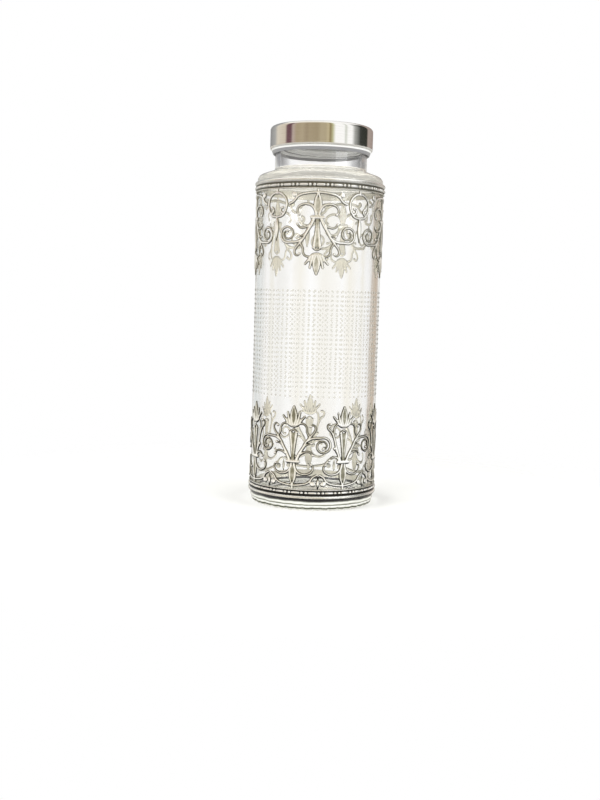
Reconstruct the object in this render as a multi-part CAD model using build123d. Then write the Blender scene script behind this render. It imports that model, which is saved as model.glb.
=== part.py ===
from build123d import *
import os
from math import ceil, cos, degrees, pi, radians, sin

# Rosewater sprinkler: a clear glass bottle with a screw cap over a pierced sprinkler plate,
# dressed with two bands of openwork. Millimetres, +Z up, +Y away from the front, the origin
# in the middle of the foot, on the surface that the bottle stands on.

# Glass bottle
BODY_RADIUS = 30.0
BODY_TOP = 155.9            # where the body's wall would meet the shoulder's slope
NECK_FOOT = 158.85          # where the shoulder's slope would meet the neck
LIP_HEIGHT = 175.8
NECK_RADIUS = 21.9
GLASS_WALL = 2.8
NECK_WALL = 2.4
FLOOR_THICKNESS = 5.0
PUNT_RISE = 1.6
BEARING_INNER_RADIUS = 23.5
HEEL_INSET = 0.5            # the foot is this much slimmer than the body
HEEL_HEIGHT = 2.6
HEEL_STEP = 0.5
HEEL_ROUND = 1.8
INNER_HEEL_ROUND = 4.0
SHOULDER_ROUND = 3.2
INNER_SHOULDER_ROUND = 8.0
NECK_FILLET = 1.0
LIP_ROUND = 0.8
KNURL_COUNT = 44
KNURL_RADIUS = 0.8
KNURL_DEPTH = 1.1
KNURL_HEIGHT = 1.2

# Screw thread, right handed, on the neck and in the liner
THREAD_PITCH = 4.2
THREAD_TURNS = 1.25
THREAD_DEPTH = 0.5
THREAD_ROOT_WIDTH = 1.6
THREAD_CREST_WIDTH = 0.8
THREAD_BITE = 0.3           # how far a ridge's root runs into the wall that carries it
THREAD_DROP = 7.6           # from the lip down to the start of the ridge
THREAD_CLEARANCE = 0.2

# Cap: a drawn steel shell over a threaded liner
CAP_RADIUS = 24.45
CAP_HEIGHT = 10.6
SHELL_WALL = 0.65
CAP_ROUND = 1.7
HEM_RADIUS = 0.5
LINER_TOP = 0.9
LINER_WALL = 0.7
LINER_LIP_HEIGHT = 2.2
LINER_LIP_REACH = 0.5       # how far the lip stands out under the shell's hem
LINER_LIP_TAPER = 0.8
SEAL_THICKNESS = 1.0
SEAL_INSET = 0.35           # between the seal's rim and the thread in the liner
STACK_GAP = 0.05            # between the parts that are stacked in the cap

# Sprinkler plate, plugged into the mouth
PLATE_THICKNESS = 0.8
PLATE_INSET = 0.35          # the plate's rim stays inside the neck's outer wall
PLUG_DEPTH = 3.3
PLUG_WALL = 0.6
PLUG_RING_THICKNESS = 0.9
PLUG_RING_HEIGHT = 2.6
SPRINKLE_HOLE_RADIUS = 0.7
SPRINKLE_RING_STEP = 4.0
SPRINKLE_RINGS = 3
HOLES_PER_RING = 6

# Bands of openwork, soldered up from stamped strip and beaded wire
BAND_SEAT_GAP = 0.05
LOWER_BAND_FOOT = 5.3
UPPER_BAND_HEAD = 153.0
RIM_HEIGHT = 2.0
RIM_THICKNESS = 1.05
RIM_ROUND = 0.4
WEB_HEIGHT = 2.5
WEB_THICKNESS = 0.3
LINE_HEIGHT = 0.5
LINE_THICKNESS = 0.75
FILIGREE_THICKNESS = 0.95
SOLDER_GAP = 0.05           # between a stamping and the strip that carries it

# Bead and reel wire
BEAD_REPEATS = 24
BEAD_RADIUS = 0.8
REEL_RADIUS = 0.7
REEL_LENGTH = 4.2
CORE_HEIGHT = 0.9
CORE_THICKNESS = 0.3
BEAD_SPACING = 2.0

# Where the stampings stand, in degrees from the front, to the right; they were set by eye
LOWER_ANGLES = (-65.0, -18.2, 27.4, 74.0, 128.0, 183.3, 239.0)
UPPER_ANGLES = (-79.0, -2.2, 75.8, 154.0, 228.0)
# The sides on which each stamping has its own scroll; two close stampings share one between them
LOWER_SCROLLS = ("left", "both", "right", "right", "right", "right", "none")
UPPER_SCROLLS = ("both", "both", "both", "both", "left")
# Whether a link fills the gap to the right of each upper stamping; the strip closes at the last
UPPER_LINKED = (True, True, True, True, False)

# Small counts that set how finely curves are drawn
SAMPLES_PER_POINT = 2
SCROLL_STEP = 45.0          # degrees of turn from one point of a scroll to the next
NOSE_ANGLES = (45, 90, 135)
LEAF_STEPS = 8
CORE_SIDES = 72             # the bead wire's core is bent in short flats

CUT_OVERRUN = 1.0           # how far a cutting shape runs past what it cuts

# Sizes that follow from the ones above
SHELL_TOP = (LIP_HEIGHT + PLATE_THICKNESS + SEAL_THICKNESS + LINER_TOP + SHELL_WALL
             + STACK_GAP + STACK_GAP + STACK_GAP)
SHELL_FOOT = SHELL_TOP - CAP_HEIGHT
LINER_HEAD = SHELL_TOP - SHELL_WALL - STACK_GAP
LINER_CEILING = LINER_HEAD - LINER_TOP
LINER_FOOT = SHELL_FOOT - LINER_LIP_HEIGHT
THREAD_START = LIP_HEIGHT - THREAD_DROP
MOUTH_RADIUS = NECK_RADIUS - NECK_WALL
INNER_RADIUS = BODY_RADIUS - GLASS_WALL
LINER_BORE = NECK_RADIUS + THREAD_DEPTH + THREAD_CLEARANCE
LINER_RADIUS = LINER_BORE + LINER_WALL
THREAD_TIP_RADIUS = NECK_RADIUS + THREAD_CLEARANCE
BAND_RADIUS = BODY_RADIUS + BAND_SEAT_GAP
RAIL_HEIGHT = RIM_HEIGHT + WEB_HEIGHT + LINE_HEIGHT
PLUG_RADIUS = MOUTH_RADIUS - PLUG_RING_THICKNESS
HORIZON = BODY_RADIUS + BODY_RADIUS     # reach of a cutting block, past every piece


def gaps_between(angles):
    """The angle from each stamping to the next one round the bottle."""
    after = angles[1:] + (angles[0] + 360,)
    return [b - a for a, b in zip(angles, after)]


def arc_of(angle):
    """Length along the glass of an angle in degrees."""
    return BAND_RADIUS * radians(angle)


# The pattern's drawing unit is half the arc between the two closest stampings
UNIT = arc_of(min(gaps_between(LOWER_ANGLES))) / 2

# Strands of one half of the stamping, right of its middle: points as shares of the unit,
# across from the middle and out from the rail, then the width shares at the two ends.
CLASP_SHARES = ((-0.225, 1.067), (0.225, 1.067))
CLASP_WIDTH_SHARE = 0.15
FOOT_POST_SHARES = ((0, 0), (0, 0.2))
FOOT_POST_WIDTH_SHARE = 0.1
SPROUT_SHARES = ((0, 1.02), (0, 0.15))
SPROUT_WIDTH_SHARE = 0.185
TRUMPET_SHARES = ((0, 1.12), (0, 2.233))
TRUMPET_WIDTH_SHARES = (0.12, 0.31)
TRUMPET_CAP_SHARES = ((-0.16, 2.2), (0, 2.3), (0.16, 2.2))
TRUMPET_CAP_WIDTH_SHARE = 0.075
CALYX_SHARES = ((-0.285, 2.71), (-0.2, 2.51), (0, 2.442), (0.2, 2.51), (0.285, 2.71))
CALYX_WIDTH_SHARE = 0.09
MIDDLE_PETAL_SHARES = ((0, 2.46), (0, 3.242))
MIDDLE_PETAL_WIDTH_SHARE = 0.19
SIDE_STRANDS = (
    # inner petal and outer petal
    (((0.067, 2.5), (0.14, 2.75), (0.242, 2.983)), (0.15, 0.06)),
    (((0.18, 2.53), (0.28, 2.7), (0.442, 2.842)), (0.14, 0.06)),
    # curl under the clasp
    (((0.04, 1.04), (0.09, 0.83), (0.19, 0.67), (0.375, 0.583), (0.6, 0.6), (0.765, 0.72),
      (0.79, 0.88), (0.717, 0.965)), (0.11, 0.075)),
)
OWN_SCROLL_STRANDS = (
    # stem up to the shoulder and its curl
    (((0.12, 1.1), (0.254, 1.4), (0.379, 1.608), (0.546, 1.9), (0.713, 2.108), (0.838, 2.275),
      (0.862, 2.417), (0.758, 2.51), (0.667, 2.45)), (0.115, 0.07)),
    # inner curl that ties the shoulder to the flower
    (((0.66, 2.04), (0.542, 2.217), (0.517, 2.417), (0.417, 2.533), (0.26, 2.56)), (0.08, 0.08)),
    # two leaf hooks
    (((0.16, 1.12), (0.283, 1.342), (0.467, 1.45), (0.667, 1.45), (0.775, 1.33)), (0.1, 0.07)),
    (((0.27, 1.38), (0.4, 1.6), (0.53, 1.74), (0.71, 1.79)), (0.11, 0.06)),
)
NO_SCROLL_STRANDS = (
    # a steeper stem, drawn in to leave room for the neighbour's scroll
    (((0.12, 1.1), (0.242, 1.433), (0.325, 1.717), (0.4, 2.0), (0.517, 2.25), (0.658, 2.408),
      (0.65, 2.53), (0.55, 2.56)), (0.115, 0.07)),
    (((0.42, 2.06), (0.408, 2.3), (0.37, 2.47), (0.26, 2.56)), (0.08, 0.08)),
    (((0.16, 1.12), (0.325, 1.27), (0.483, 1.25), (0.575, 1.142)), (0.1, 0.065)),
    (((0.24, 1.42), (0.33, 1.53), (0.385, 1.6)), (0.1, 0.06)),
)
# Side scroll: its middle, the radii at its two ends, and the lead from the stem
SCROLL_MIDDLE_SHARES = (1.16, 1.7)
SCROLL_RADIUS_SHARES = (0.345, 0.11)
SCROLL_LEAD_SHARES = ((0.52, 1.86), (0.75, 1.99))
SCROLL_START_ANGLE = 115.0
SCROLL_TURN = -560.0
SCROLL_WIDTH_SHARES = (0.105, 0.065)
# Wavy strand along the rail: across as shares of its reach, out as shares of the unit
WAVE_SHARES = ((0.45, 0.185), (0.7, 0.29), (0.85, 0.475), (1.0, 0.56))
WAVE_WIDTH_SHARE = 0.1
# Little curl under the wave's crest
CREST_CURL_MIDDLE_SHARES = (0.8, 0.31)
CREST_CURL_RADIUS_SHARES = (0.11, 0.065)
CREST_CURL_START_ANGLE = 100.0
CREST_CURL_TURN = -300.0
CREST_CURL_WIDTH_SHARES = (0.07, 0.055)
# Drop between two lower stampings
DROP_SHARES = ((0, 0), (0, 0.5))
DROP_WIDTH_SHARE = 0.12
# Link between two upper stampings: a horseshoe and a hanging leaf
HORSESHOE_MIDDLE_SHARE = 0.6
HORSESHOE_RADIUS_SHARES = (0.46, 0.46)
HORSESHOE_START_ANGLE = 150.0
HORSESHOE_TURN = 240.0
HORSESHOE_CURL_SHARES = ((0.4, 0.82), (0.31, 0.91), (0.2, 0.87), (0.19, 0.75), (0.27, 0.7))
HORSESHOE_WIDTH_SHARE = 0.1
LINK_POST_SHARES = ((0, 0), (0, 0.16))
LINK_BRIDGE_SHARES = ((0.4, 0.83), (0.26, 1.0), (0, 1.06))
LINK_LEAF_SHARES = ((0, 1.0), (0, 1.98))
LINK_LEAF_WIDTH_SHARE = 0.21
LINK_CLEARANCE_SHARE = 0.02


def turned(points, rounds):
    """A turned solid from corners given as radius and height, with one round for each."""
    face = make_face(Polyline(*points, close=True))
    for corner, size in zip(points, rounds):
        if size:
            near = face.vertices().sort_by_distance(Vector(*corner))[0]
            face = fillet(near, size)
    return revolve(Plane.XZ * face, Axis.Z)


def tube(inner, outer, foot, head):
    """A plain turned ring."""
    return turned([(inner, foot), (outer, foot), (outer, head), (inner, head)], [0, 0, 0, 0])


def thread_ridge(radius, outward, start_angle, start_height):
    """A trapezoid ridge that climbs along the wall at this radius."""
    helix = Helix(THREAD_PITCH, THREAD_TURNS * THREAD_PITCH, radius)
    side = 1 if outward else -1
    start = Plane(origin=helix @ 0, x_dir=(side, 0, 0), z_dir=helix % 0)
    root = THREAD_ROOT_WIDTH / 2
    crest = THREAD_CREST_WIDTH / 2
    shape = make_face(Polyline((-THREAD_BITE, -root), (THREAD_DEPTH, -crest),
                               (THREAD_DEPTH, crest), (-THREAD_BITE, root), close=True))
    ridge = sweep(start * shape, path=helix, is_frenet=True)
    return Pos(0, 0, start_height) * Rot(0, 0, start_angle) * ridge


def glass_bottle():
    """Thick walled bottle with a screw finish, a knurled heel and a pushed up bottom."""
    foot_radius = BODY_RADIUS - HEEL_INSET
    outside = turned(
        [(0, 0), (foot_radius, 0), (foot_radius, HEEL_HEIGHT),
         (BODY_RADIUS, HEEL_HEIGHT + HEEL_STEP), (BODY_RADIUS, BODY_TOP),
         (NECK_RADIUS, NECK_FOOT), (NECK_RADIUS, LIP_HEIGHT), (0, LIP_HEIGHT)],
        [0, HEEL_ROUND, 0, 0, SHOULDER_ROUND, NECK_FILLET, LIP_ROUND, 0])
    inside = turned(
        [(0, FLOOR_THICKNESS), (INNER_RADIUS, FLOOR_THICKNESS),
         (INNER_RADIUS, BODY_TOP - GLASS_WALL), (MOUTH_RADIUS, NECK_FOOT - GLASS_WALL),
         (MOUTH_RADIUS, HORIZON + LIP_HEIGHT), (0, HORIZON + LIP_HEIGHT)],
        [0, INNER_HEEL_ROUND, INNER_SHOULDER_ROUND, NECK_FILLET, 0, 0])
    ball_radius = (BEARING_INNER_RADIUS ** 2 + PUNT_RISE ** 2) / (2 * PUNT_RISE)
    punt = Pos(0, 0, PUNT_RISE - ball_radius) * Sphere(ball_radius)
    bottle = outside - inside - punt
    cutter = Cylinder(KNURL_RADIUS, KNURL_HEIGHT + KNURL_HEIGHT)
    notch = Pos(foot_radius - KNURL_DEPTH + KNURL_RADIUS, 0, 0) * cutter
    bottle -= [Rot(0, 0, 360 * turn / KNURL_COUNT) * notch for turn in range(KNURL_COUNT)]
    bottle += thread_ridge(NECK_RADIUS, True, 0, THREAD_START)
    return bottle


def cap_shell():
    """Drawn steel cup with rounded shoulders and an edge rolled inwards."""
    inner = CAP_RADIUS - SHELL_WALL
    cup = turned(
        [(0, SHELL_TOP - SHELL_WALL), (inner, SHELL_TOP - SHELL_WALL), (inner, SHELL_FOOT + HEM_RADIUS),
         (CAP_RADIUS, SHELL_FOOT + HEM_RADIUS), (CAP_RADIUS, SHELL_TOP), (0, SHELL_TOP)],
        [0, CAP_ROUND - SHELL_WALL, 0, 0, CAP_ROUND, 0])
    section = Pos(CAP_RADIUS - HEM_RADIUS, SHELL_FOOT + HEM_RADIUS) * Circle(HEM_RADIUS)
    return cup + revolve(Plane.XZ * section, Axis.Z)


def cap_liner():
    """Moulded inner cap with the screw thread and a tapered lip that shows under the shell."""
    lip = LINER_RADIUS + LINER_LIP_REACH
    lip_head = SHELL_FOOT - STACK_GAP
    liner = turned(
        [(0, LINER_CEILING), (LINER_BORE, LINER_CEILING), (LINER_BORE, LINER_FOOT),
         (lip - LINER_LIP_TAPER, LINER_FOOT), (lip, lip_head), (LINER_RADIUS, lip_head),
         (LINER_RADIUS, LINER_HEAD), (0, LINER_HEAD)],
        [0, 0, 0, 0, 0, 0, CAP_ROUND - SHELL_WALL, 0])
    return liner + thread_ridge(LINER_BORE, False, 180, THREAD_START)


def cap_seal():
    """Soft disc in the liner that closes the sprinkle holes."""
    radius = THREAD_TIP_RADIUS - SEAL_INSET
    foot = LINER_CEILING - STACK_GAP - SEAL_THICKNESS
    return Pos(0, 0, foot) * Cylinder(radius, SEAL_THICKNESS, align=(Align.CENTER, Align.CENTER, Align.MIN))


def sprinkler_plate():
    """Round plate with rings of sprinkle holes and a short skirt that plugs the mouth."""
    head = LIP_HEIGHT + PLATE_THICKNESS
    plate = tube(0, NECK_RADIUS - PLATE_INSET, LIP_HEIGHT, head)
    plate += tube(PLUG_RADIUS - PLUG_WALL, PLUG_RADIUS, LIP_HEIGHT - PLUG_DEPTH, LIP_HEIGHT)
    drill = Cylinder(SPRINKLE_HOLE_RADIUS, PLATE_THICKNESS + CUT_OVERRUN + CUT_OVERRUN)
    hole = Pos(0, 0, LIP_HEIGHT + PLATE_THICKNESS / 2) * drill
    holes = [hole]
    for ring in range(1, SPRINKLE_RINGS + 1):
        count = ring * HOLES_PER_RING
        for turn in range(count):
            holes.append(Rot(0, 0, 360 * turn / count) * Pos(ring * SPRINKLE_RING_STEP, 0, 0) * hole)
    return plate - holes


def plug_ring():
    """Soft ring that holds the plug in the mouth."""
    head = LIP_HEIGHT - (PLUG_DEPTH - PLUG_RING_HEIGHT) / 2
    return tube(PLUG_RADIUS + STACK_GAP, MOUTH_RADIUS - STACK_GAP, head - PLUG_RING_HEIGHT, head)


def rail(level, side):
    """Rolled strip of a band: a round rim, a channel for the beads and a fine line."""
    rim = BAND_RADIUS + RIM_THICKNESS
    web = BAND_RADIUS + WEB_THICKNESS
    line = BAND_RADIUS + LINE_THICKNESS
    heights = [0, RIM_HEIGHT, RIM_HEIGHT + WEB_HEIGHT, RAIL_HEIGHT]
    low, step, top, end = [level + side * height for height in heights]
    return turned(
        [(BAND_RADIUS, low), (rim, low), (rim, step), (web, step), (web, top),
         (line, top), (line, end), (BAND_RADIUS, end)],
        [0, RIM_ROUND, RIM_ROUND, 0, 0, 0, 0, 0])


def bead_wire(level, side):
    """Half round wire of reels and paired beads on a thin strip, lying in the rail's channel."""
    seat = BAND_RADIUS + WEB_THICKNESS + STACK_GAP
    corner = 1 / cos(pi / CORE_SIDES)
    height = Plane.XY.offset(-CORE_HEIGHT / 2)
    strip = extrude(height * RegularPolygon((seat + CORE_THICKNESS) * corner, CORE_SIDES), CORE_HEIGHT)
    strip -= extrude(height * RegularPolygon(seat * corner, CORE_SIDES), CORE_HEIGHT)
    front = Box(HORIZON, HORIZON, HORIZON, align=(Align.MIN, Align.CENTER, Align.CENTER))
    reel = Pos(seat, 0, 0) * (Rot(90, 0, 0) * Cylinder(REEL_RADIUS, REEL_LENGTH) & front)
    bead = Pos(seat, 0, 0) * (Sphere(BEAD_RADIUS) & front)
    repeat = 360 / BEAD_REPEATS
    bead_angle = degrees(BEAD_SPACING / seat) / 2
    links = []
    for turn in range(BEAD_REPEATS):
        links.append(Rot(0, 0, turn * repeat) * reel)
        for shift in (-bead_angle, bead_angle):
            links.append(Rot(0, 0, turn * repeat + repeat / 2 + shift) * bead)
    middle = level + side * (RIM_HEIGHT + WEB_HEIGHT / 2)
    return Pos(0, 0, middle) * (strip + links)


def flat_point(share, side=1):
    """A point of the pattern, laid on the flat that touches the glass, so its arc comes true."""
    across, out = share
    return (side * BAND_RADIUS * sin(across * UNIT / BAND_RADIUS), out * UNIT)


def strand(points, widths, round_ends=True):
    """A flat strand: short straight flats on each side of a smooth middle line."""
    middle = Spline(*points)
    steps = SAMPLES_PER_POINT * len(points)
    left = []
    right = []
    for step in range(steps + 1):
        share = step / steps
        along = middle % share
        half = (widths[0] + (widths[1] - widths[0]) * share) / 2
        side = Vector(-along.Y, along.X) * half
        left.append((middle @ share) + side)
        right.append((middle @ share) - side)
    head = nose(middle @ 1, middle % 1, widths[1] / 2) if round_ends else []
    tail = nose(middle @ 0, (middle % 0) * -1, widths[0] / 2) if round_ends else []
    return make_face(Polyline(*left, *head, *right[::-1], *tail, close=True))


def nose(end, along, half):
    """Points of a blunt round end, from the left of the strand's direction to its right."""
    side = Vector(-along.Y, along.X)
    angles = [radians(angle) for angle in NOSE_ANGLES]
    return [end + side * (half * cos(angle)) + along * (half * sin(angle)) for angle in angles]


def drawn(shares, width_shares, side=1, round_ends=True):
    """A strand from a table of shares."""
    points = [flat_point(share, side) for share in shares]
    widths = [share * UNIT for share in width_shares]
    return strand(points, widths, round_ends)


def leaf(shares, width_share):
    """A pointed leaf between two points, widest at the middle."""
    foot, tip = [Vector(*flat_point(share)) for share in shares]
    bulge = Vector(width_share * UNIT / 2, 0)
    right = []
    left = []
    for step in range(1, LEAF_STEPS):
        share = step / LEAF_STEPS
        side = bulge * sin(pi * share)
        right.append(foot + (tip - foot) * share + side)
        left.append(foot + (tip - foot) * share - side)
    return make_face(Polyline(foot, *right, tip, *left[::-1], close=True))


def scroll_shares(middle, radii, start_angle, turn):
    """Points of a scroll whose radius shrinks steadily as it turns."""
    steps = ceil(abs(turn) / SCROLL_STEP)
    points = []
    for step in range(steps + 1):
        share = step / steps
        angle = radians(start_angle + turn * share)
        radius = radii[0] + (radii[1] - radii[0]) * share
        points.append((middle[0] + radius * cos(angle), middle[1] + radius * sin(angle)))
    return points


def wave(reaches):
    """The wavy strand that runs along the rail from one end of the stamping to the other."""
    right = [(across * reaches[1], out) for across, out in WAVE_SHARES]
    left = [(-across * reaches[0], out) for across, out in WAVE_SHARES]
    return drawn(left[::-1] + right, (WAVE_WIDTH_SHARE, WAVE_WIDTH_SHARE), round_ends=False)


def half_stamping(side, reach, own_scroll, scroll_middle):
    """Faces of the strands on one side of a stamping."""
    strands = list(SIDE_STRANDS)
    strands += OWN_SCROLL_STRANDS if own_scroll else NO_SCROLL_STRANDS
    faces = [drawn(points, widths, side) for points, widths in strands]
    if own_scroll:
        turns = scroll_shares(scroll_middle, SCROLL_RADIUS_SHARES, SCROLL_START_ANGLE, SCROLL_TURN)
        faces.append(drawn(SCROLL_LEAD_SHARES + tuple(turns), SCROLL_WIDTH_SHARES, side))
    middle = (CREST_CURL_MIDDLE_SHARES[0] * reach, CREST_CURL_MIDDLE_SHARES[1])
    curl = scroll_shares(middle, CREST_CURL_RADIUS_SHARES, CREST_CURL_START_ANGLE, CREST_CURL_TURN)
    faces.append(drawn(curl, CREST_CURL_WIDTH_SHARES, side))
    return faces


def stamping(reaches, scrolls, scroll_middles):
    """Flat pattern of one flower stamping."""
    faces = [
        drawn(CLASP_SHARES, (CLASP_WIDTH_SHARE, CLASP_WIDTH_SHARE)),
        drawn(FOOT_POST_SHARES, (FOOT_POST_WIDTH_SHARE, FOOT_POST_WIDTH_SHARE), round_ends=False),
        leaf(SPROUT_SHARES, SPROUT_WIDTH_SHARE),
        drawn(TRUMPET_SHARES, TRUMPET_WIDTH_SHARES, round_ends=False),
        drawn(TRUMPET_CAP_SHARES, (TRUMPET_CAP_WIDTH_SHARE, TRUMPET_CAP_WIDTH_SHARE)),
        drawn(CALYX_SHARES, (CALYX_WIDTH_SHARE, CALYX_WIDTH_SHARE)),
        leaf(MIDDLE_PETAL_SHARES, MIDDLE_PETAL_WIDTH_SHARE),
        wave(reaches),
    ]
    for side, reach, own_scroll, middle in zip((-1, 1), reaches, scrolls, scroll_middles):
        faces += half_stamping(side, reach, own_scroll, middle)
    return Sketch() + faces


def link_pattern():
    """Flat pattern of the horseshoe and hanging leaf between two upper stampings."""
    middle = (0, HORSESHOE_MIDDLE_SHARE)
    arch = scroll_shares(middle, HORSESHOE_RADIUS_SHARES, HORSESHOE_START_ANGLE, HORSESHOE_TURN)
    width = (HORSESHOE_WIDTH_SHARE, HORSESHOE_WIDTH_SHARE)
    faces = [
        drawn(arch, width),
        drawn(LINK_POST_SHARES, width, round_ends=False),
        leaf(LINK_LEAF_SHARES, LINK_LEAF_WIDTH_SHARE),
    ]
    for side in (-1, 1):
        faces.append(drawn(HORSESHOE_CURL_SHARES, width, side))
        faces.append(drawn(LINK_BRIDGE_SHARES, width, side))
    return Sketch() + faces


def wrapped(pattern, angle, level, side):
    """The flat pattern cut through the band's thickness and set at its angle and height."""
    flat = Plane.XZ * (pattern if side > 0 else mirror(pattern, Plane.XZ))
    block = extrude(flat, BAND_RADIUS + FILIGREE_THICKNESS + CUT_OVERRUN)
    sleeve = tube(BAND_RADIUS, BAND_RADIUS + FILIGREE_THICKNESS, -HORIZON, HORIZON + HORIZON)
    height = level + side * (RAIL_HEIGHT + SOLDER_GAP)
    return Pos(0, 0, height) * Rot(0, 0, angle) * (block & sleeve)


def reaches_of(angles):
    """For each stamping, how far it may reach to the left and to the right, in pattern units."""
    gaps = gaps_between(angles)
    right = [arc_of(gap) / 2 / UNIT for gap in gaps]
    left = [right[-1]] + right[:-1]
    return list(zip(left, right))


def joint_reach(reach):
    """A reach shortened so that stampings cut with parallel walls don't meet inside the wall."""
    return reach - 2 * SOLDER_GAP / UNIT


def own_scrolls(scrolls):
    """Whether the left and the right scroll are the stamping's own."""
    return (scrolls in ("left", "both"), scrolls in ("right", "both"))


def lower_stampings():
    """The seven stampings of the lower band, one beside another."""
    pieces = []
    for angle, reach, scrolls in zip(LOWER_ANGLES, reaches_of(LOWER_ANGLES), LOWER_SCROLLS):
        ends = [joint_reach(side) for side in reach]
        pattern = stamping(ends, own_scrolls(scrolls), (SCROLL_MIDDLE_SHARES, SCROLL_MIDDLE_SHARES))
        pieces.append(wrapped(pattern, angle, LOWER_BAND_FOOT, 1))
    return pieces


def upper_stampings():
    """The five stampings of the upper band, upside down, with links between all but two."""
    arch = HORSESHOE_RADIUS_SHARES[0] + HORSESHOE_WIDTH_SHARE / 2 + LINK_CLEARANCE_SHARE
    scroll = (SCROLL_RADIUS_SHARES[0] + SCROLL_WIDTH_SHARES[0] / 2
              + LINK_LEAF_WIDTH_SHARE / 2 + LINK_CLEARANCE_SHARE)
    linked_sides = list(zip((UPPER_LINKED[-1],) + UPPER_LINKED[:-1], UPPER_LINKED))
    pieces = []
    for angle, reach, scrolls, linked in zip(UPPER_ANGLES, reaches_of(UPPER_ANGLES),
                                             UPPER_SCROLLS, linked_sides):
        ends = [side - arch if link else joint_reach(side) for side, link in zip(reach, linked)]
        middles = [(side - scroll if link else SCROLL_MIDDLE_SHARES[0], SCROLL_MIDDLE_SHARES[1])
                   for side, link in zip(reach, linked)]
        pattern = stamping(ends, own_scrolls(scrolls), middles)
        pieces.append(wrapped(pattern, angle, UPPER_BAND_HEAD, -1))
    return pieces


def gap_middles(angles, wanted):
    """The angles half way across the wanted gaps between stampings."""
    return [angle + gap / 2 for angle, gap, want in zip(angles, gaps_between(angles), wanted) if want]


def upper_links():
    """The links, each half way between two upper stampings."""
    pattern = link_pattern()
    return [wrapped(pattern, angle, UPPER_BAND_HEAD, -1)
            for angle in gap_middles(UPPER_ANGLES, UPPER_LINKED)]


def drops(angles, level, side):
    """Small drops in the valleys between stampings, as one group."""
    pattern = Sketch() + [leaf(DROP_SHARES, DROP_WIDTH_SHARE)]
    pieces = [wrapped(pattern, angle, level, side) for angle in angles]
    return Compound([solid for piece in pieces for solid in piece.solids()])


def main():
    nodes = {
        "glass_bottle": glass_bottle(),
        "cap_shell": cap_shell(),
        "cap_liner": cap_liner(),
        "cap_seal": cap_seal(),
        "sprinkler_plate": sprinkler_plate(),
        "plug_ring": plug_ring(),
        "lower_rail": rail(LOWER_BAND_FOOT, 1),
        "upper_rail": rail(UPPER_BAND_HEAD, -1),
        "lower_bead_wire": bead_wire(LOWER_BAND_FOOT, 1),
        "upper_bead_wire": bead_wire(UPPER_BAND_HEAD, -1),
        "lower_drops": drops(gap_middles(LOWER_ANGLES, [True] * len(LOWER_ANGLES)), LOWER_BAND_FOOT, 1),
        "upper_drop": drops(gap_middles(UPPER_ANGLES, [not link for link in UPPER_LINKED]),
                            UPPER_BAND_HEAD, -1),
    }
    groups = {
        "lower_flower": lower_stampings(),
        "upper_flower": upper_stampings(),
        "upper_link": upper_links(),
    }
    for name, pieces in groups.items():
        for number, piece in enumerate(pieces, 1):
            nodes[f"{name}_{number}"] = piece
    os.makedirs("parts", exist_ok=True)
    for name, piece in nodes.items():
        export_step(piece, f"parts/{name}.step", write_pcurves=False)


main()
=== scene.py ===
from math import ceil, cos, degrees, exp, pi, radians, sin, sqrt

import bpy
from mathutils import Matrix, Vector


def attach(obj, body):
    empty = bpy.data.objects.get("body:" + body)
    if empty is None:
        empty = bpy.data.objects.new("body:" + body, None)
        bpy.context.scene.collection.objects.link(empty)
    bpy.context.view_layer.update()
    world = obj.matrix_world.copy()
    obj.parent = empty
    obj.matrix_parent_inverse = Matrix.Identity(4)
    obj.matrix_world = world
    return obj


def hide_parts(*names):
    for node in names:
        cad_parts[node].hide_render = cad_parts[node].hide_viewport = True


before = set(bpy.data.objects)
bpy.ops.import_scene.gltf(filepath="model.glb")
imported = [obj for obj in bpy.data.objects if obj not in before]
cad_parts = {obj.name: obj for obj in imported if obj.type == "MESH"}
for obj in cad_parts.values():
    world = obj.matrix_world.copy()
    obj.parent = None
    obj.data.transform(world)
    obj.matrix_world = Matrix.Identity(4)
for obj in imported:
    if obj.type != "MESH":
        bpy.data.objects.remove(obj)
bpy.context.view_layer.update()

# Real sizes in millimetres, as in the solids
MM = 0.001
BODY_RADIUS = 30.0
BODY_TOP = 155.9
NECK_FOOT = 158.85
LIP_HEIGHT = 175.8
NECK_RADIUS = 21.9
GLASS_WALL = 2.8
NECK_WALL = 2.4
FLOOR_THICKNESS = 5.0
PUNT_RISE = 1.6
BEARING_INNER_RADIUS = 23.5
HEEL_INSET = 0.5
HEEL_HEIGHT = 2.6
HEEL_STEP = 0.5
HEEL_ROUND = 1.8
INNER_HEEL_ROUND = 4.0
SHOULDER_ROUND = 3.2
INNER_SHOULDER_ROUND = 8.0
NECK_FILLET = 1.0
LIP_ROUND = 0.8
INNER_LIP_ROUND = 0.4
THREAD_PITCH = 4.2
THREAD_TURNS = 1.25
THREAD_DEPTH = 0.5
THREAD_ROOT_WIDTH = 1.6
THREAD_CREST_WIDTH = 0.8
THREAD_START = 168.2
THREAD_FADE = 12.0               # degrees over which a thread's end runs out
NECK_TOLERANCE = 0.01            # a point this near the neck's radius is on its outer skin

# Knurling of the heel, drawn for the eye and not quite as in the solids
KNURL_COUNT = 44
KNURL_DEPTH = 0.8
KNURL_HEIGHT = 2.0
KNURL_LIFT = 0.6
KNURL_SHARPNESS = 1.5            # more makes each notch narrower

# Pressed dots round the middle of the glass
DOT_COLUMNS = 72
DOT_ROWS = 23
DOT_PITCH = 2.21
DOT_FOOT = 52.3                  # lower edge of the dotted zone
DOT_RADIUS = 0.56
DOT_RISE = 0.2
DOT_MARGIN = 0.15                # a flat ring round each dot keeps the wall between them flat
DOT_FACE_RISE = DOT_RISE / 8     # a face that stands out this far belongs to a dot

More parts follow.
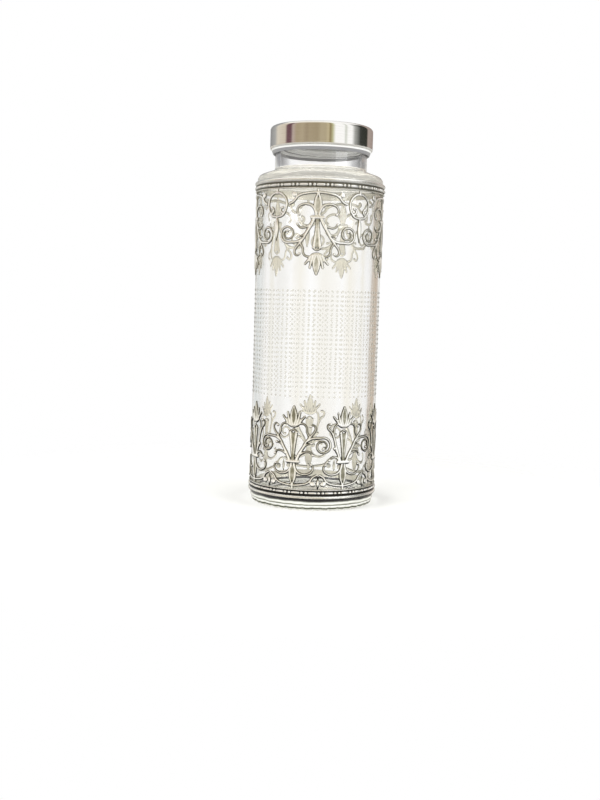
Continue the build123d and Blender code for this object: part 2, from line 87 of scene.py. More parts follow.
# Cap
CAP_RADIUS = 24.45
CAP_HEIGHT = 10.6
SHELL_TOP = 179.3
SHELL_WALL = 0.65
CAP_ROUND = 1.7
HEM_RADIUS = 0.5
HEM_CURL = 1.25                  # the rolled edge's turn, in half turns
FLANGE_FOOT = 167.85             # the painted light on the liner's flange ends here
FLANGE_BLEND = 0.1

# Bands
BAND_RADIUS = 30.05
LOWER_BAND_FOOT = 5.3
UPPER_BAND_HEAD = 153.0
RIM_HEIGHT = 2.0
RIM_THICKNESS = 1.05
RIM_ROUND = 0.95
WEB_HEIGHT = 2.5
WEB_THICKNESS = 0.3
LINE_HEIGHT = 0.5
LINE_THICKNESS = 0.75
LINE_ROUND = 0.2
RAIL_CREASE = 50                 # degrees, above which an edge of the rail stays sharp
RAIL_HEIGHT = RIM_HEIGHT + WEB_HEIGHT + LINE_HEIGHT
FILIGREE_THICKNESS = 0.95
SOLDER_GAP = 0.05
BEAD_REPEATS = 24
BEAD_RADIUS = 0.8
REEL_RADIUS = 0.7
REEL_LENGTH = 4.2
BEAD_SPACING = 2.0
WIRE_SEAT = BAND_RADIUS + WEB_THICKNESS + SOLDER_GAP
STRIP_HALF_HEIGHT = 0.45         # of the thin strip that carries beads and reels
STRIP_THICKNESS = 0.06
LOWER_ANGLES = (-65.0, -18.2, 27.4, 74.0, 128.0, 183.3, 239.0)
UPPER_ANGLES = (-79.0, -2.2, 75.8, 154.0, 228.0)
LOWER_SCROLLS = ("left", "both", "right", "right", "right", "right", "none")
UPPER_SCROLLS = ("both", "both", "both", "both", "left")
UPPER_LINKED = (True, True, True, True, False)

# Meshing
TURN_STEPS = 144                 # two steps for each column of dots
KNURL_STEPS = 8
ARC_STEPS = 6
NECK_ROWS = 28
ROUND_SEGMENTS = 16              # of a bead or reel
BEAD_RINGS = 8
REEL_RINGS = 12
SUPPORT = 0.25                   # a ring this far beside each round keeps the flats flat
WELD = 1e-7                      # points this near, in metres, are one
TILE_TOLERANCE = WELD * 1000     # the same on the flat tile of dots, which is in millimetres
TILE_WELD = 0.001
BOTTLE_WELD = WELD * 50
SEAM_TOLERANCE = WELD * 10
VOXEL = 0.2
SOFTEN_FACTOR = 0.5
SOFTEN_ROUNDS = 2
WIRE_BEVEL_STEPS = 2
WIRE_CURVE_STEPS = 6
PEARL_DIVISIONS = 2
CORE_INSET = 0.08                # the raised core of a strand is this much slimmer on each side
FLANGE_REACH = 0.16              # the thin flange under it reaches this far past the strand's width
FLANGE_FLATNESS = 0.3
THINNEST_CORE = 0.12
FLOOR_TOP = 0.265                # the sunk floor of a petal or trumpet, while it is drawn flat
FLOOR_FOOT = -0.24
RELIEF_BASE = 0.2                # height of a strand's upright foot
RELIEF_SCALE = 0.5
HOLLOW_DEPTH = 0.5               # a strand is hollow behind, as stamped sheet is


def gaps_between(angles):
    """Degrees from each angle to the next one round."""
    following = angles[1:] + (angles[0] + 360,)
    return [after - before for before, after in zip(angles, following)]


UNIT = radians(min(gaps_between(LOWER_ANGLES))) * BAND_RADIUS / 2

# The flower pattern in shares of UNIT: across, out from the rail
CLASP_SHARES = ((-0.225, 1.067), (0.225, 1.067))
CLASP_WIDTH_SHARE = 0.15
FOOT_POST_SHARES = ((0, 0), (0, 0.2))
FOOT_POST_WIDTH_SHARE = 0.1
SPROUT_EDGE_SHARES = ((0.04, 1.02), (0.1, 0.8), (0.1, 0.42), (0.0, 0.15))
SPROUT_EDGE_WIDTH_SHARES = (0.095, 0.09)
SPROUT_FLOOR_SHARES = ((-0.08, 0.9), (0.08, 0.9), (0.07, 0.33), (-0.07, 0.33))
TRUMPET_SIDE_SHARES = ((0.03, 1.12), (0.06, 1.6), (0.13, 2.2))
TRUMPET_SIDE_WIDTH_SHARES = (0.065, 0.11)
TRUMPET_FLOOR_SHARES = ((-0.03, 1.1), (0.03, 1.1), (0.13, 2.2), (-0.13, 2.2))
TRUMPET_CAP_SHARES = ((-0.16, 2.2), (0, 2.3), (0.16, 2.2))
TRUMPET_CAP_WIDTH_SHARE = 0.085
CALYX_SHARES = ((-0.285, 2.71), (-0.2, 2.51), (0, 2.442), (0.2, 2.51), (0.285, 2.71))
CALYX_WIDTH_SHARE = 0.09
MIDDLE_PETAL_EDGE_SHARES = ((0.03, 2.5), (0.1, 2.74), (0.085, 2.98), (0.0, 3.225))
MIDDLE_PETAL_EDGE_WIDTH_SHARES = (0.1, 0.08)
MIDDLE_PETAL_FLOOR_SHARES = ((-0.06, 2.5), (0.06, 2.5), (0.05, 3.1), (-0.05, 3.1))
HEAD_FLOOR_SHARES = ((-0.16, 2.5), (0.16, 2.5), (0.25, 2.72), (-0.25, 2.72))
FLOWER_FLOORS_SHARES = (TRUMPET_FLOOR_SHARES, MIDDLE_PETAL_FLOOR_SHARES, HEAD_FLOOR_SHARES,
                        SPROUT_FLOOR_SHARES)
SIDE_STRANDS = (
    (((0.11, 2.5), (0.19, 2.72), (0.25, 2.983)), (0.105, 0.09)),
    (((0.2, 2.52), (0.31, 2.68), (0.442, 2.842)), (0.105, 0.085)),
    (((0.04, 1.04), (0.09, 0.83), (0.19, 0.67), (0.375, 0.583), (0.6, 0.6), (0.765, 0.72),
      (0.79, 0.88), (0.717, 0.965)), (0.11, 0.075)),
)
OWN_SCROLL_STRANDS = (
    (((0.12, 1.1), (0.254, 1.4), (0.379, 1.608), (0.546, 1.9), (0.713, 2.108), (0.838, 2.275),
      (0.862, 2.417), (0.758, 2.51), (0.667, 2.45)), (0.115, 0.07)),
    (((0.66, 2.04), (0.542, 2.217), (0.517, 2.417), (0.417, 2.533), (0.26, 2.56)), (0.08, 0.08)),
    (((0.16, 1.12), (0.283, 1.342), (0.467, 1.45), (0.667, 1.45), (0.775, 1.33)), (0.1, 0.07)),
    (((0.27, 1.38), (0.4, 1.6), (0.53, 1.74), (0.71, 1.79)), (0.11, 0.06)),
)
NO_SCROLL_STRANDS = (
    (((0.12, 1.1), (0.242, 1.433), (0.325, 1.717), (0.4, 2.0), (0.517, 2.25), (0.658, 2.408),
      (0.65, 2.53), (0.55, 2.56)), (0.115, 0.07)),
    (((0.42, 2.06), (0.408, 2.3), (0.37, 2.47), (0.26, 2.56)), (0.08, 0.08)),
    (((0.16, 1.12), (0.325, 1.27), (0.483, 1.25), (0.575, 1.142)), (0.1, 0.065)),
    (((0.24, 1.42), (0.33, 1.53), (0.385, 1.6)), (0.1, 0.06)),
)
SCROLL_MIDDLE_SHARES = (1.16, 1.7)
SCROLL_RADIUS_SHARES = (0.345, 0.11)
SCROLL_LEAD_SHARES = ((0.52, 1.86), (0.75, 1.99))
SCROLL_START_ANGLE = 115.0
SCROLL_TURN = -560.0
SCROLL_WIDTH_SHARES = (0.105, 0.065)
SCROLL_STEP = 45.0
WAVE_SHARES = ((0.45, 0.185), (0.7, 0.29), (0.85, 0.475), (1.0, 0.56))
WAVE_WIDTH_SHARE = 0.1
# Where the crest pearl's stalk leaves the wave, and how far it goes
CREST_PEARL_SHARES = ((0.69, 0.29), (0.15, -0.08))
CREST_STALK_WIDTH_SHARE = 0.09
CREST_PEARL_SHARE = 0.112
CURL_PEARL_SHARE = 0.062
DROP_SHARES = ((0, 0), (0, 0.5))
DROP_WIDTH_SHARE = 0.12
HORSESHOE_MIDDLE_SHARE = 0.6
HORSESHOE_RADIUS_SHARES = (0.46, 0.46)
HORSESHOE_START_ANGLE = 150.0
HORSESHOE_TURN = 240.0
HORSESHOE_WIDTH_SHARE = 0.1
HORSESHOE_CURL_SHARES = ((0.4, 0.82), (0.31, 0.91), (0.2, 0.87), (0.19, 0.75), (0.27, 0.7))
LINK_POST_SHARES = ((0, 0), (0, 0.16))
LINK_BRIDGE_SHARES = ((0.4, 0.83), (0.26, 1.0), (0, 1.06))
LINK_LEAF_SHARES = ((0, 1.0), (0, 1.98))
LINK_LEAF_WIDTH_SHARE = 0.21
LINK_CLEARANCE_SHARE = 0.02
LEAF_STEPS = 8
LEAF_LEAST_SHARE = 0.02
LEAF_FULLNESS = 0.9              # less brings the widest place nearer the leaf's foot

# Camera, at the photograph's place
LENS = 47.32
CAMERA_PLACE = (-0.00684, -0.5115, 0.0981)
CAMERA_DIP = 5.48
CAMERA_ROLL = 1.61
CAMERA_NEAREST = 0.01


def place_camera():
    """The camera looks slightly down and is turned a little about its own line of sight."""
    camera = bpy.data.objects.new("camera", bpy.data.cameras.new("camera"))
    bpy.context.scene.collection.objects.link(camera)
    camera.data.lens = LENS
    camera.data.clip_start = CAMERA_NEAREST
    camera.location = CAMERA_PLACE
    pitch = Matrix.Rotation(radians(90 - CAMERA_DIP), 3, "X")
    roll = Matrix.Rotation(radians(CAMERA_ROLL), 3, "Z")
    camera.rotation_euler = (pitch @ roll).to_euler()
    bpy.context.scene.camera = camera


# Shaping helpers

def select_only(*objects):
    """Selects these objects, the first of them active."""
    bpy.ops.object.select_all(action="DESELECT")
    for item in objects:
        item.select_set(True)
    bpy.context.view_layer.objects.active = objects[0]


def named(name):
    """Names the active object and its mesh."""
    piece = bpy.context.object
    piece.name = name
    piece.data.name = name
    return piece


def joined(name, pieces):
    """Joins pieces into one."""
    select_only(*pieces)
    if len(pieces) > 1:
        bpy.ops.object.join()
    return named(name)


def rounded(corners):
    """An outline from corners given as radius, height and round, with a support beside each round."""
    outline = []
    for number, (radius, height, size) in enumerate(corners):
        corner = Vector((radius, height))
        if not size:
            outline.append(corner)
            continue
        back = (Vector(corners[number - 1][:2]) - corner).normalized()
        on = (Vector(corners[number + 1][:2]) - corner).normalized()
        half = back.angle(on) / 2
        reach = size / (sin(half) / cos(half))
        middle = corner + (back + on).normalized() * (size / sin(half))
        start = corner + back * reach - middle
        sweep = start.angle_signed(corner + on * reach - middle)
        outline.append(corner + back * (reach + SUPPORT))
        for step in range(ARC_STEPS + 1):
            turn = Matrix.Rotation(-sweep * step / ARC_STEPS, 2)
            outline.append(middle + turn @ start)
        outline.append(corner + on * (reach + SUPPORT))
    return outline


def spun(name, outline, steps):
    """A turned skin: the outline is drawn point by point, then spun round the axis."""
    first = outline[0]
    bpy.ops.object.select_all(action="DESELECT")
    bpy.ops.mesh.primitive_plane_add(size=MM, location=(0, 0, 0))
    bpy.ops.object.mode_set(mode="EDIT")
    bpy.ops.mesh.merge(type="CENTER")
    bpy.ops.transform.translate(value=(first[0] * MM, 0, first[1] * MM))
    for before, point in zip(outline, outline[1:]):
        step = (point - before) * MM
        bpy.ops.mesh.extrude_vertices_move(TRANSFORM_OT_translate={"value": (step.x, 0, step.y)})
    bpy.ops.mesh.select_all(action="SELECT")
    bpy.ops.mesh.spin(steps=steps, angle=2 * pi, center=(0, 0, 0), axis=(0, 0, 1))
    bpy.ops.mesh.select_all(action="SELECT")
    bpy.ops.mesh.remove_doubles(threshold=WELD)
    bpy.ops.mesh.normals_make_consistent(inside=False)
    bpy.ops.object.mode_set(mode="OBJECT")
    bpy.ops.object.shade_smooth()
    return named(name)


def apply_modifier(piece, kind, settings):
    """Adds a modifier to a piece and applies it."""
    select_only(piece)
    modifier = piece.modifiers.new(kind.lower(), kind)
    for key, value in settings.items():
        setattr(modifier, key, value)
    bpy.ops.object.modifier_apply(modifier=modifier.name)


def clothe(piece, *materials):
    """Gives a piece its materials, of which the first is on every face."""
    piece.data.materials.clear()
    for material in materials:
        piece.data.materials.append(material)


# Colours and materials. Bumps are a strength and a depth in millimetres, and sizes are in millimetres

GLASS_IOR = 1.52
WAVE_BUMP = (0.12, 0.4)
HEEL_BUMP = (0.25, 0.3)
HEEL_WAVE_SIZE = 6
HEEL_SWAY = 0.8                  # the rings wander up and down by half of this
HEEL_ROUGHNESS = 0.05
HEEL_CLEARNESS = 0.22
SILVER_BUMP = (0.25, 0.05)
SILVER_GRAIN_SIZE = 0.35
SILVER_METALLIC = 0.78
SILVER_ROUGH_LEVELS = (0.2, 0.65)    # from a strand's foot to its top, as a share of its thickness
SILVER_ROUGHNESS = (0.45, 0.17)
# Tarnish with painted shade in the silver's hollows, deeper in the lower band as painted reflection
TARNISH_AND_SHADE_SIZE = 2.5
TARNISH_AND_SHADE_REACH = 0.16             # how far the edge of the tarnish and painted shade wanders up a strand
TARNISH_AND_SHADE_SHIFTS = (0.035, -0.115)     # more in the upper band, and everywhere
UPPER_HEIGHTS = (60, 110)        # over these the look goes from the lower band's to the upper one's
# Undersides are painted dark as painted reflection, near black in the lower band
UNDERSIDE_TILTS = (-0.26, -0.03)     # upward share of the direction that a face looks in
UNDERSIDE_SHADES = (0.6, 0.015)  # more in the upper band, and everywhere
BACK_TILTS = (-0.97, -0.6)       # share of a back face's direction that looks at the glass
STEEL_BUMP = (0.02, 0.05)
STEEL_STRETCH = 0.02             # the brushing runs round, so it is this much finer upright
STEEL_RING_SIZE = 0.25
STEEL_SMEAR = 0.6
MOULD_BUMP = (0.15, 0.05)


def linear(code):
    """An sRGB hex value as linear colour with alpha."""
    channels = [int(code[place:place + 2], 16) / 255 for place in (1, 3, 5)]
    return [value / 12.92 if value <= 0.04045 else ((value + 0.055) / 1.055) ** 2.4
            for value in channels] + [1]


def add_node(tree, kind, settings=(), links=()):
    """Adds a node. Settings are pairs, and links pair a socket with a node or one of its outputs."""
    node = tree.nodes.new("ShaderNode" + kind)
    for name, value in settings:
        if isinstance(name, int) or name in node.inputs:
            node.inputs[name].default_value = value
        else:
            setattr(node, name, value)
    for name, source in links:
        output = source.outputs[0] if isinstance(source, bpy.types.Node) else source
        tree.links.new(output, node.inputs[name])
    return node


def new_material(name):
    """An empty material and its tree of nodes."""
    material = bpy.data.materials.new(name)
    material.use_nodes = True
    tree = material.node_tree
    tree.nodes.clear()
    return material, tree


def set_ramp(node, stops):
    """Colour stops of a ramp, given as place and hex colour."""
    ramp = node.color_ramp
    while len(ramp.elements) > 1:
        ramp.elements.remove(ramp.elements[-1])
    ramp.elements[0].position = stops[0][0]
    ramp.elements[0].color = linear(stops[0][1])
    for place, code in stops[1:]:
        ramp.elements.new(place).color = linear(code)


def pressed_glass(name, colour_code, clearness, roughness, wave_size):
    """Pressed soda-lime glass, with the soft waves or the fine tooth that its mould leaves."""
    material, tree = new_material(name)
    place = add_node(tree, "TexCoord")
    waves = add_node(tree, "TexNoise", [("Scale", 1 / (wave_size * MM)), ("Detail", 1.0)],
                     [("Vector", place.outputs["Object"])])
    bump = add_node(tree, "Bump", [("Strength", WAVE_BUMP[0]), ("Distance", WAVE_BUMP[1] * MM)],
                    [("Height", waves)])
    shader = add_node(tree, "BsdfPrincipled", [
        ("Base Color", linear(colour_code)), ("Roughness", roughness), ("IOR", GLASS_IOR),
        ("Transmission Weight", clearness)], [("Normal", bump)])
    add_node(tree, "OutputMaterial", links=[("Surface", shader)])
    return material


# Rings of the heel's glass, from the foot to the rail, set from the photograph's heel. The
# darkest, next to the rail, stand for the shadow under it
HEEL_RINGS = [(0.0, "#FFFFFB"), (0.13, "#F4F5EA"), (0.18, "#4E503F"), (0.28, "#3C3E31"),
              (0.33, "#ECEDE2"), (0.46, "#FFFFFF"), (0.51, "#6E705E"), (0.58, "#7C7E6C"),
              (0.63, "#F8F9F0"), (0.76, "#FFFFFA"), (0.82, "#8B8C80"), (0.89, "#2A292D"),
              (1.0, "#1B1A20")]


def ringed_heel_glass():
    """Rings of colour on the foot's glass, greyer than the wall; those next to the rail are painted
    shadow.
    """
    material, tree = new_material("heel_glass_rings_and_painted_shadow")
    place = add_node(tree, "TexCoord")
    parts = add_node(tree, "SeparateXYZ", links=[(0, place.outputs["Object"])])
    waves = add_node(tree, "TexNoise", [("Scale", 1 / (HEEL_WAVE_SIZE * MM)), ("Detail", 2.0)],
                     [("Vector", place.outputs["Object"])])
    sway = add_node(tree, "Math", [
        ("operation", "MULTIPLY_ADD"), (1, HEEL_SWAY * MM), (2, -HEEL_SWAY / 2 * MM)],
        [(0, waves)])
    level = add_node(tree, "Math", [("operation", "ADD")],
                     [(0, parts.outputs["Z"]), (1, sway)])
    share = add_node(tree, "MapRange", [("From Min", 0.0), ("From Max", LOWER_BAND_FOOT * MM)],
                     [("Value", level)])
    colour = add_node(tree, "ValToRGB", links=[("Fac", share)])
    set_ramp(colour, HEEL_RINGS)
    bump = add_node(tree, "Bump", [("Strength", HEEL_BUMP[0]), ("Distance", HEEL_BUMP[1] * MM)],
                    [("Height", waves)])
    shader = add_node(tree, "BsdfPrincipled", [
        ("Roughness", HEEL_ROUGHNESS), ("IOR", GLASS_IOR), ("Transmission Weight", HEEL_CLEARNESS)],
        [("Base Color", colour), ("Normal", bump)])
    add_node(tree, "OutputMaterial", links=[("Surface", shader)])
    return material


def silver_plate():
    """Silver plated white metal: pale and polished on top, dark in hollows and on undersides.

    The dark in hollows is tarnish with painted shade. The undersides are a painted reflection of
    something dark, most of all in the lower band. The back is hollow and shows through the glass: dull,
    with painted shade as darker lines where it slopes."""
    material, tree = new_material("silver_plate_dark_in_hollows")
    place = add_node(tree, "TexCoord")
    flat = add_node(tree, "VectorMath", [("operation", "MULTIPLY"), (1, (1, 1, 0))],
                    [(0, place.outputs["Object"])])
    reach = add_node(tree, "VectorMath", [("operation", "LENGTH")], [(0, flat)])
    height = add_node(tree, "MapRange", [
        ("From Min", BAND_RADIUS * MM), ("From Max", (BAND_RADIUS + FILIGREE_THICKNESS) * MM)],
        [("Value", reach.outputs["Value"])])
    tarnish_and_shade_noise = add_node(tree, "TexNoise", [("Scale", 1 / (TARNISH_AND_SHADE_SIZE * MM)), ("Detail", 3.0)],
                       [("Vector", place.outputs["Object"])])
    parts = add_node(tree, "SeparateXYZ", links=[(0, place.outputs["Object"])])
    upper = add_node(tree, "MapRange", [
        ("From Min", UPPER_HEIGHTS[0] * MM), ("From Max", UPPER_HEIGHTS[1] * MM)],
        [("Value", parts.outputs["Z"])])
    lowered = add_node(tree, "Math", [
        ("operation", "MULTIPLY_ADD"), (1, TARNISH_AND_SHADE_SHIFTS[0]), (2, TARNISH_AND_SHADE_SHIFTS[1])],
        [(0, upper)])
    uneven = add_node(tree, "Math", [("operation", "MULTIPLY_ADD"), (1, TARNISH_AND_SHADE_REACH)],
                      [(0, tarnish_and_shade_noise), (2, lowered)])
    level = add_node(tree, "Math", [("operation", "ADD")],
                     [(0, height), (1, uneven)])
    # Pale on top and dark near the glass: tarnish with painted shade in the hollows
    colour = add_node(tree, "ValToRGB", links=[("Fac", level)])
    set_ramp(colour, [(0.0, "#D2D0C7"), (0.05, "#C4C2B8"), (0.12, "#24221D"), (0.42, "#302E27"),
                      (0.5, "#8F8C78"), (0.57, "#DDDBD1"), (0.68, "#FEFDF9")])
    facing = add_node(tree, "NewGeometry")
    upward = add_node(tree, "SeparateXYZ", links=[(0, facing.outputs["Normal"])])
    # The upper band's darks are lifted; the lower band's stay deeper as painted reflection
    lifted = add_node(tree, "Mix", [
        ("data_type", "RGBA"), ("blend_type", "LIGHTEN"), (7, linear("#6B685C"))],
        [(0, upper), (6, colour)])
    # Painted reflection: undersides are darkened, near black in the lower band
    underside = add_node(tree, "Math", [
        ("operation", "MULTIPLY_ADD"), (1, UNDERSIDE_SHADES[0]), (2, UNDERSIDE_SHADES[1])],
        [(0, upper)])
    dimmed = add_node(tree, "MapRange", [
        ("From Min", UNDERSIDE_TILTS[0]), ("From Max", UNDERSIDE_TILTS[1]), ("To Max", 1.0)],
        [("Value", upward.outputs["Z"]), ("To Min", underside)])
    outward = add_node(tree, "VectorMath", [("operation", "DOT_PRODUCT")],
                       [(0, facing.outputs["Normal"]), (1, flat)])
    back = add_node(tree, "Math", [("operation", "LESS_THAN"), (1, 0.0)],
                    [(0, outward.outputs["Value"])])
    # Painted shade: the hollow back is darker where it slopes
    tilted = add_node(tree, "MapRange", [
        ("From Min", BACK_TILTS[0] * BAND_RADIUS * MM), ("From Max", BACK_TILTS[1] * BAND_RADIUS * MM)],
        [("Value", outward.outputs["Value"])])
    hollow = add_node(tree, "Mix", [
        ("data_type", "RGBA"), (6, linear("#F3EEDD")), (7, linear("#827F69"))],
        [(0, tilted)])
    bare = add_node(tree, "Mix", [("data_type", "RGBA")],
                    [(0, back), (6, lifted.outputs[2]), (7, hollow.outputs[2])])
    shaded = add_node(tree, "VectorMath", [("operation", "SCALE")], [
        (0, bare.outputs[2]), ("Scale", dimmed)])
    rough = add_node(tree, "MapRange", [
        ("From Min", SILVER_ROUGH_LEVELS[0]), ("From Max", SILVER_ROUGH_LEVELS[1]),
        ("To Min", SILVER_ROUGHNESS[0]), ("To Max", SILVER_ROUGHNESS[1])],
        [("Value", level)])
    grain = add_node(tree, "TexNoise", [("Scale", 1 / (SILVER_GRAIN_SIZE * MM)), ("Detail", 2.0)],
                     [("Vector", place.outputs["Object"])])
    bump = add_node(tree, "Bump", [("Strength", SILVER_BUMP[0]), ("Distance", SILVER_BUMP[1] * MM)],
                    [("Height", grain)])
    shader = add_node(tree, "BsdfPrincipled", [("Metallic", SILVER_METALLIC)], [
        ("Base Color", shaded), ("Roughness", rough),
        ("Normal", bump)])
    add_node(tree, "OutputMaterial", links=[("Surface", shader)])
    return material


def brushed_steel(name, colour_codes, roughness):
    """Stainless steel, drawn and brushed round: fine rings that smear reflections upright."""
    material, tree = new_material(name)
    place = add_node(tree, "TexCoord")
    stretched = add_node(tree, "Mapping", [("Scale", (STEEL_STRETCH, STEEL_STRETCH, 1.0))],
                         [("Vector", place.outputs["Object"])])
    rings = add_node(tree, "TexNoise", [("Scale", 1 / (STEEL_RING_SIZE * MM)), ("Detail", 3.0)],
                     [("Vector", stretched)])
    colour = add_node(tree, "ValToRGB", links=[("Fac", rings)])
    set_ramp(colour, [(0.35, colour_codes[0]), (0.65, colour_codes[1])])
    bump = add_node(tree, "Bump", [("Strength", STEEL_BUMP[0]), ("Distance", STEEL_BUMP[1] * MM)],
                    [("Height", rings)])
    tangent = add_node(tree, "Tangent", [("direction_type", "RADIAL"), ("axis", "Z")])
    shader = add_node(tree, "BsdfPrincipled", [
        ("Metallic", 1.0), ("Roughness", roughness), ("Anisotropic", STEEL_SMEAR)], [
        ("Base Color", colour), ("Normal", bump),
        ("Tangent", tangent)])
    add_node(tree, "OutputMaterial", links=[("Surface", shader)])
    return material


def lighten_flange(material):
    """The liner's flange under the shell is white painted light; the grey below is painted shade."""
    tree = material.node_tree
    shader = next(node for node in tree.nodes if node.type == "BSDF_PRINCIPLED")
    grain = shader.inputs["Base Color"].links[0].from_socket
    place = add_node(tree, "TexCoord")
    parts = add_node(tree, "SeparateXYZ", links=[(0, place.outputs["Object"])])
    share = add_node(tree, "MapRange", [
        ("From Min", (FLANGE_FOOT - FLANGE_BLEND) * MM),
        ("From Max", (FLANGE_FOOT + FLANGE_BLEND) * MM)],
        [("Value", parts.outputs["Z"])])
    both = add_node(tree, "Mix", [("data_type", "RGBA"), (7, linear("#FAFAF8"))],
                    [(0, share), (6, grain)])
    tree.links.new(both.outputs[2], shader.inputs["Base Color"])


def moulded(name, colour_codes, roughness, grain_size):
    """A moulded plastic or rubber, with the mould's fine grain."""
    material, tree = new_material(name)
    place = add_node(tree, "TexCoord")
    grain = add_node(tree, "TexNoise", [("Scale", 1 / (grain_size * MM)), ("Detail", 3.0)],
                     [("Vector", place.outputs["Object"])])
    colour = add_node(tree, "ValToRGB", links=[("Fac", grain)])
    set_ramp(colour, [(0.3, colour_codes[0]), (0.7, colour_codes[1])])
    bump = add_node(tree, "Bump", [("Strength", MOULD_BUMP[0]), ("Distance", MOULD_BUMP[1] * MM)],
                    [("Height", grain)])
    shader = add_node(tree, "BsdfPrincipled", [("Roughness", roughness)], [
        ("Base Color", colour), ("Normal", bump)])
    add_node(tree, "OutputMaterial", links=[("Surface", shader)])
    return material


# Glass bottle

def ridge_height(angle, height):
    """How far the thread stands out at this angle in degrees and height in millimetres."""
    total = THREAD_TURNS * 360
    best = 0.0
    for lap in range(ceil(THREAD_TURNS) + 1):
        travelled = angle % 360 + lap * 360
        if travelled > total:
            continue
        off = abs(height - THREAD_START - travelled / 360 * THREAD_PITCH)
        slope = (THREAD_ROOT_WIDTH / 2 - off) / ((THREAD_ROOT_WIDTH - THREAD_CREST_WIDTH) / 2)
        fade = min(1, travelled / THREAD_FADE, (total - travelled) / THREAD_FADE)
        best = max(best, THREAD_DEPTH * min(1, max(0, slope)) * fade)
    return best


def dotted_sheet():
    """One tile with a pressed dot, repeated round and up, and laid on the cylinder."""
    width = 2 * pi * BODY_RADIUS / DOT_COLUMNS
    bpy.ops.object.select_all(action="DESELECT")
    bpy.ops.mesh.primitive_grid_add(x_subdivisions=2, y_subdivisions=2, size=1)
    bpy.ops.object.mode_set(mode="EDIT")
    bpy.ops.transform.resize(value=(width, DOT_PITCH, 1))
    bpy.ops.mesh.select_all(action="SELECT")
    bpy.ops.mesh.inset(thickness=DOT_PITCH / 2 - DOT_RADIUS - DOT_MARGIN)
    bpy.ops.mesh.inset(thickness=DOT_MARGIN)
    bpy.ops.object.mode_set(mode="OBJECT")
    tile = named("glass_dots")
    round_dot(tile.data, width)
    apply_modifier(tile, "ARRAY", {"count": DOT_COLUMNS, "relative_offset_displace": (1, 0, 0),
                                   "use_merge_vertices": True, "merge_threshold": TILE_WELD})
    apply_modifier(tile, "ARRAY", {"count": DOT_ROWS, "relative_offset_displace": (0, 1, 0),
                                   "use_merge_vertices": True, "merge_threshold": TILE_WELD})
    for vertex in tile.data.vertices:
        across, up, rise = vertex.co
        angle = across / BODY_RADIUS + width / 2 / BODY_RADIUS
        radius = BODY_RADIUS + rise
        vertex.co = (radius * cos(angle) * MM, radius * sin(angle) * MM,
                     (DOT_FOOT + DOT_PITCH / 2 + up) * MM)
    return tile


def round_dot(mesh, width):
    """Rounds the tile's inner squares to circles and raises the middle to a dome."""
    for vertex in mesh.vertices:
        border = min(width / 2 - abs(vertex.co.x), DOT_PITCH / 2 - abs(vertex.co.y))
        inset = DOT_PITCH / 2 - DOT_RADIUS
        if border > inset + WELD:
            vertex.co.z = DOT_RISE
        elif border > inset - TILE_TOLERANCE:
            vertex.co = vertex.co.normalized() * DOT_RADIUS
        elif border > TILE_TOLERANCE:
            vertex.co = vertex.co.normalized() * (DOT_RADIUS + DOT_MARGIN)


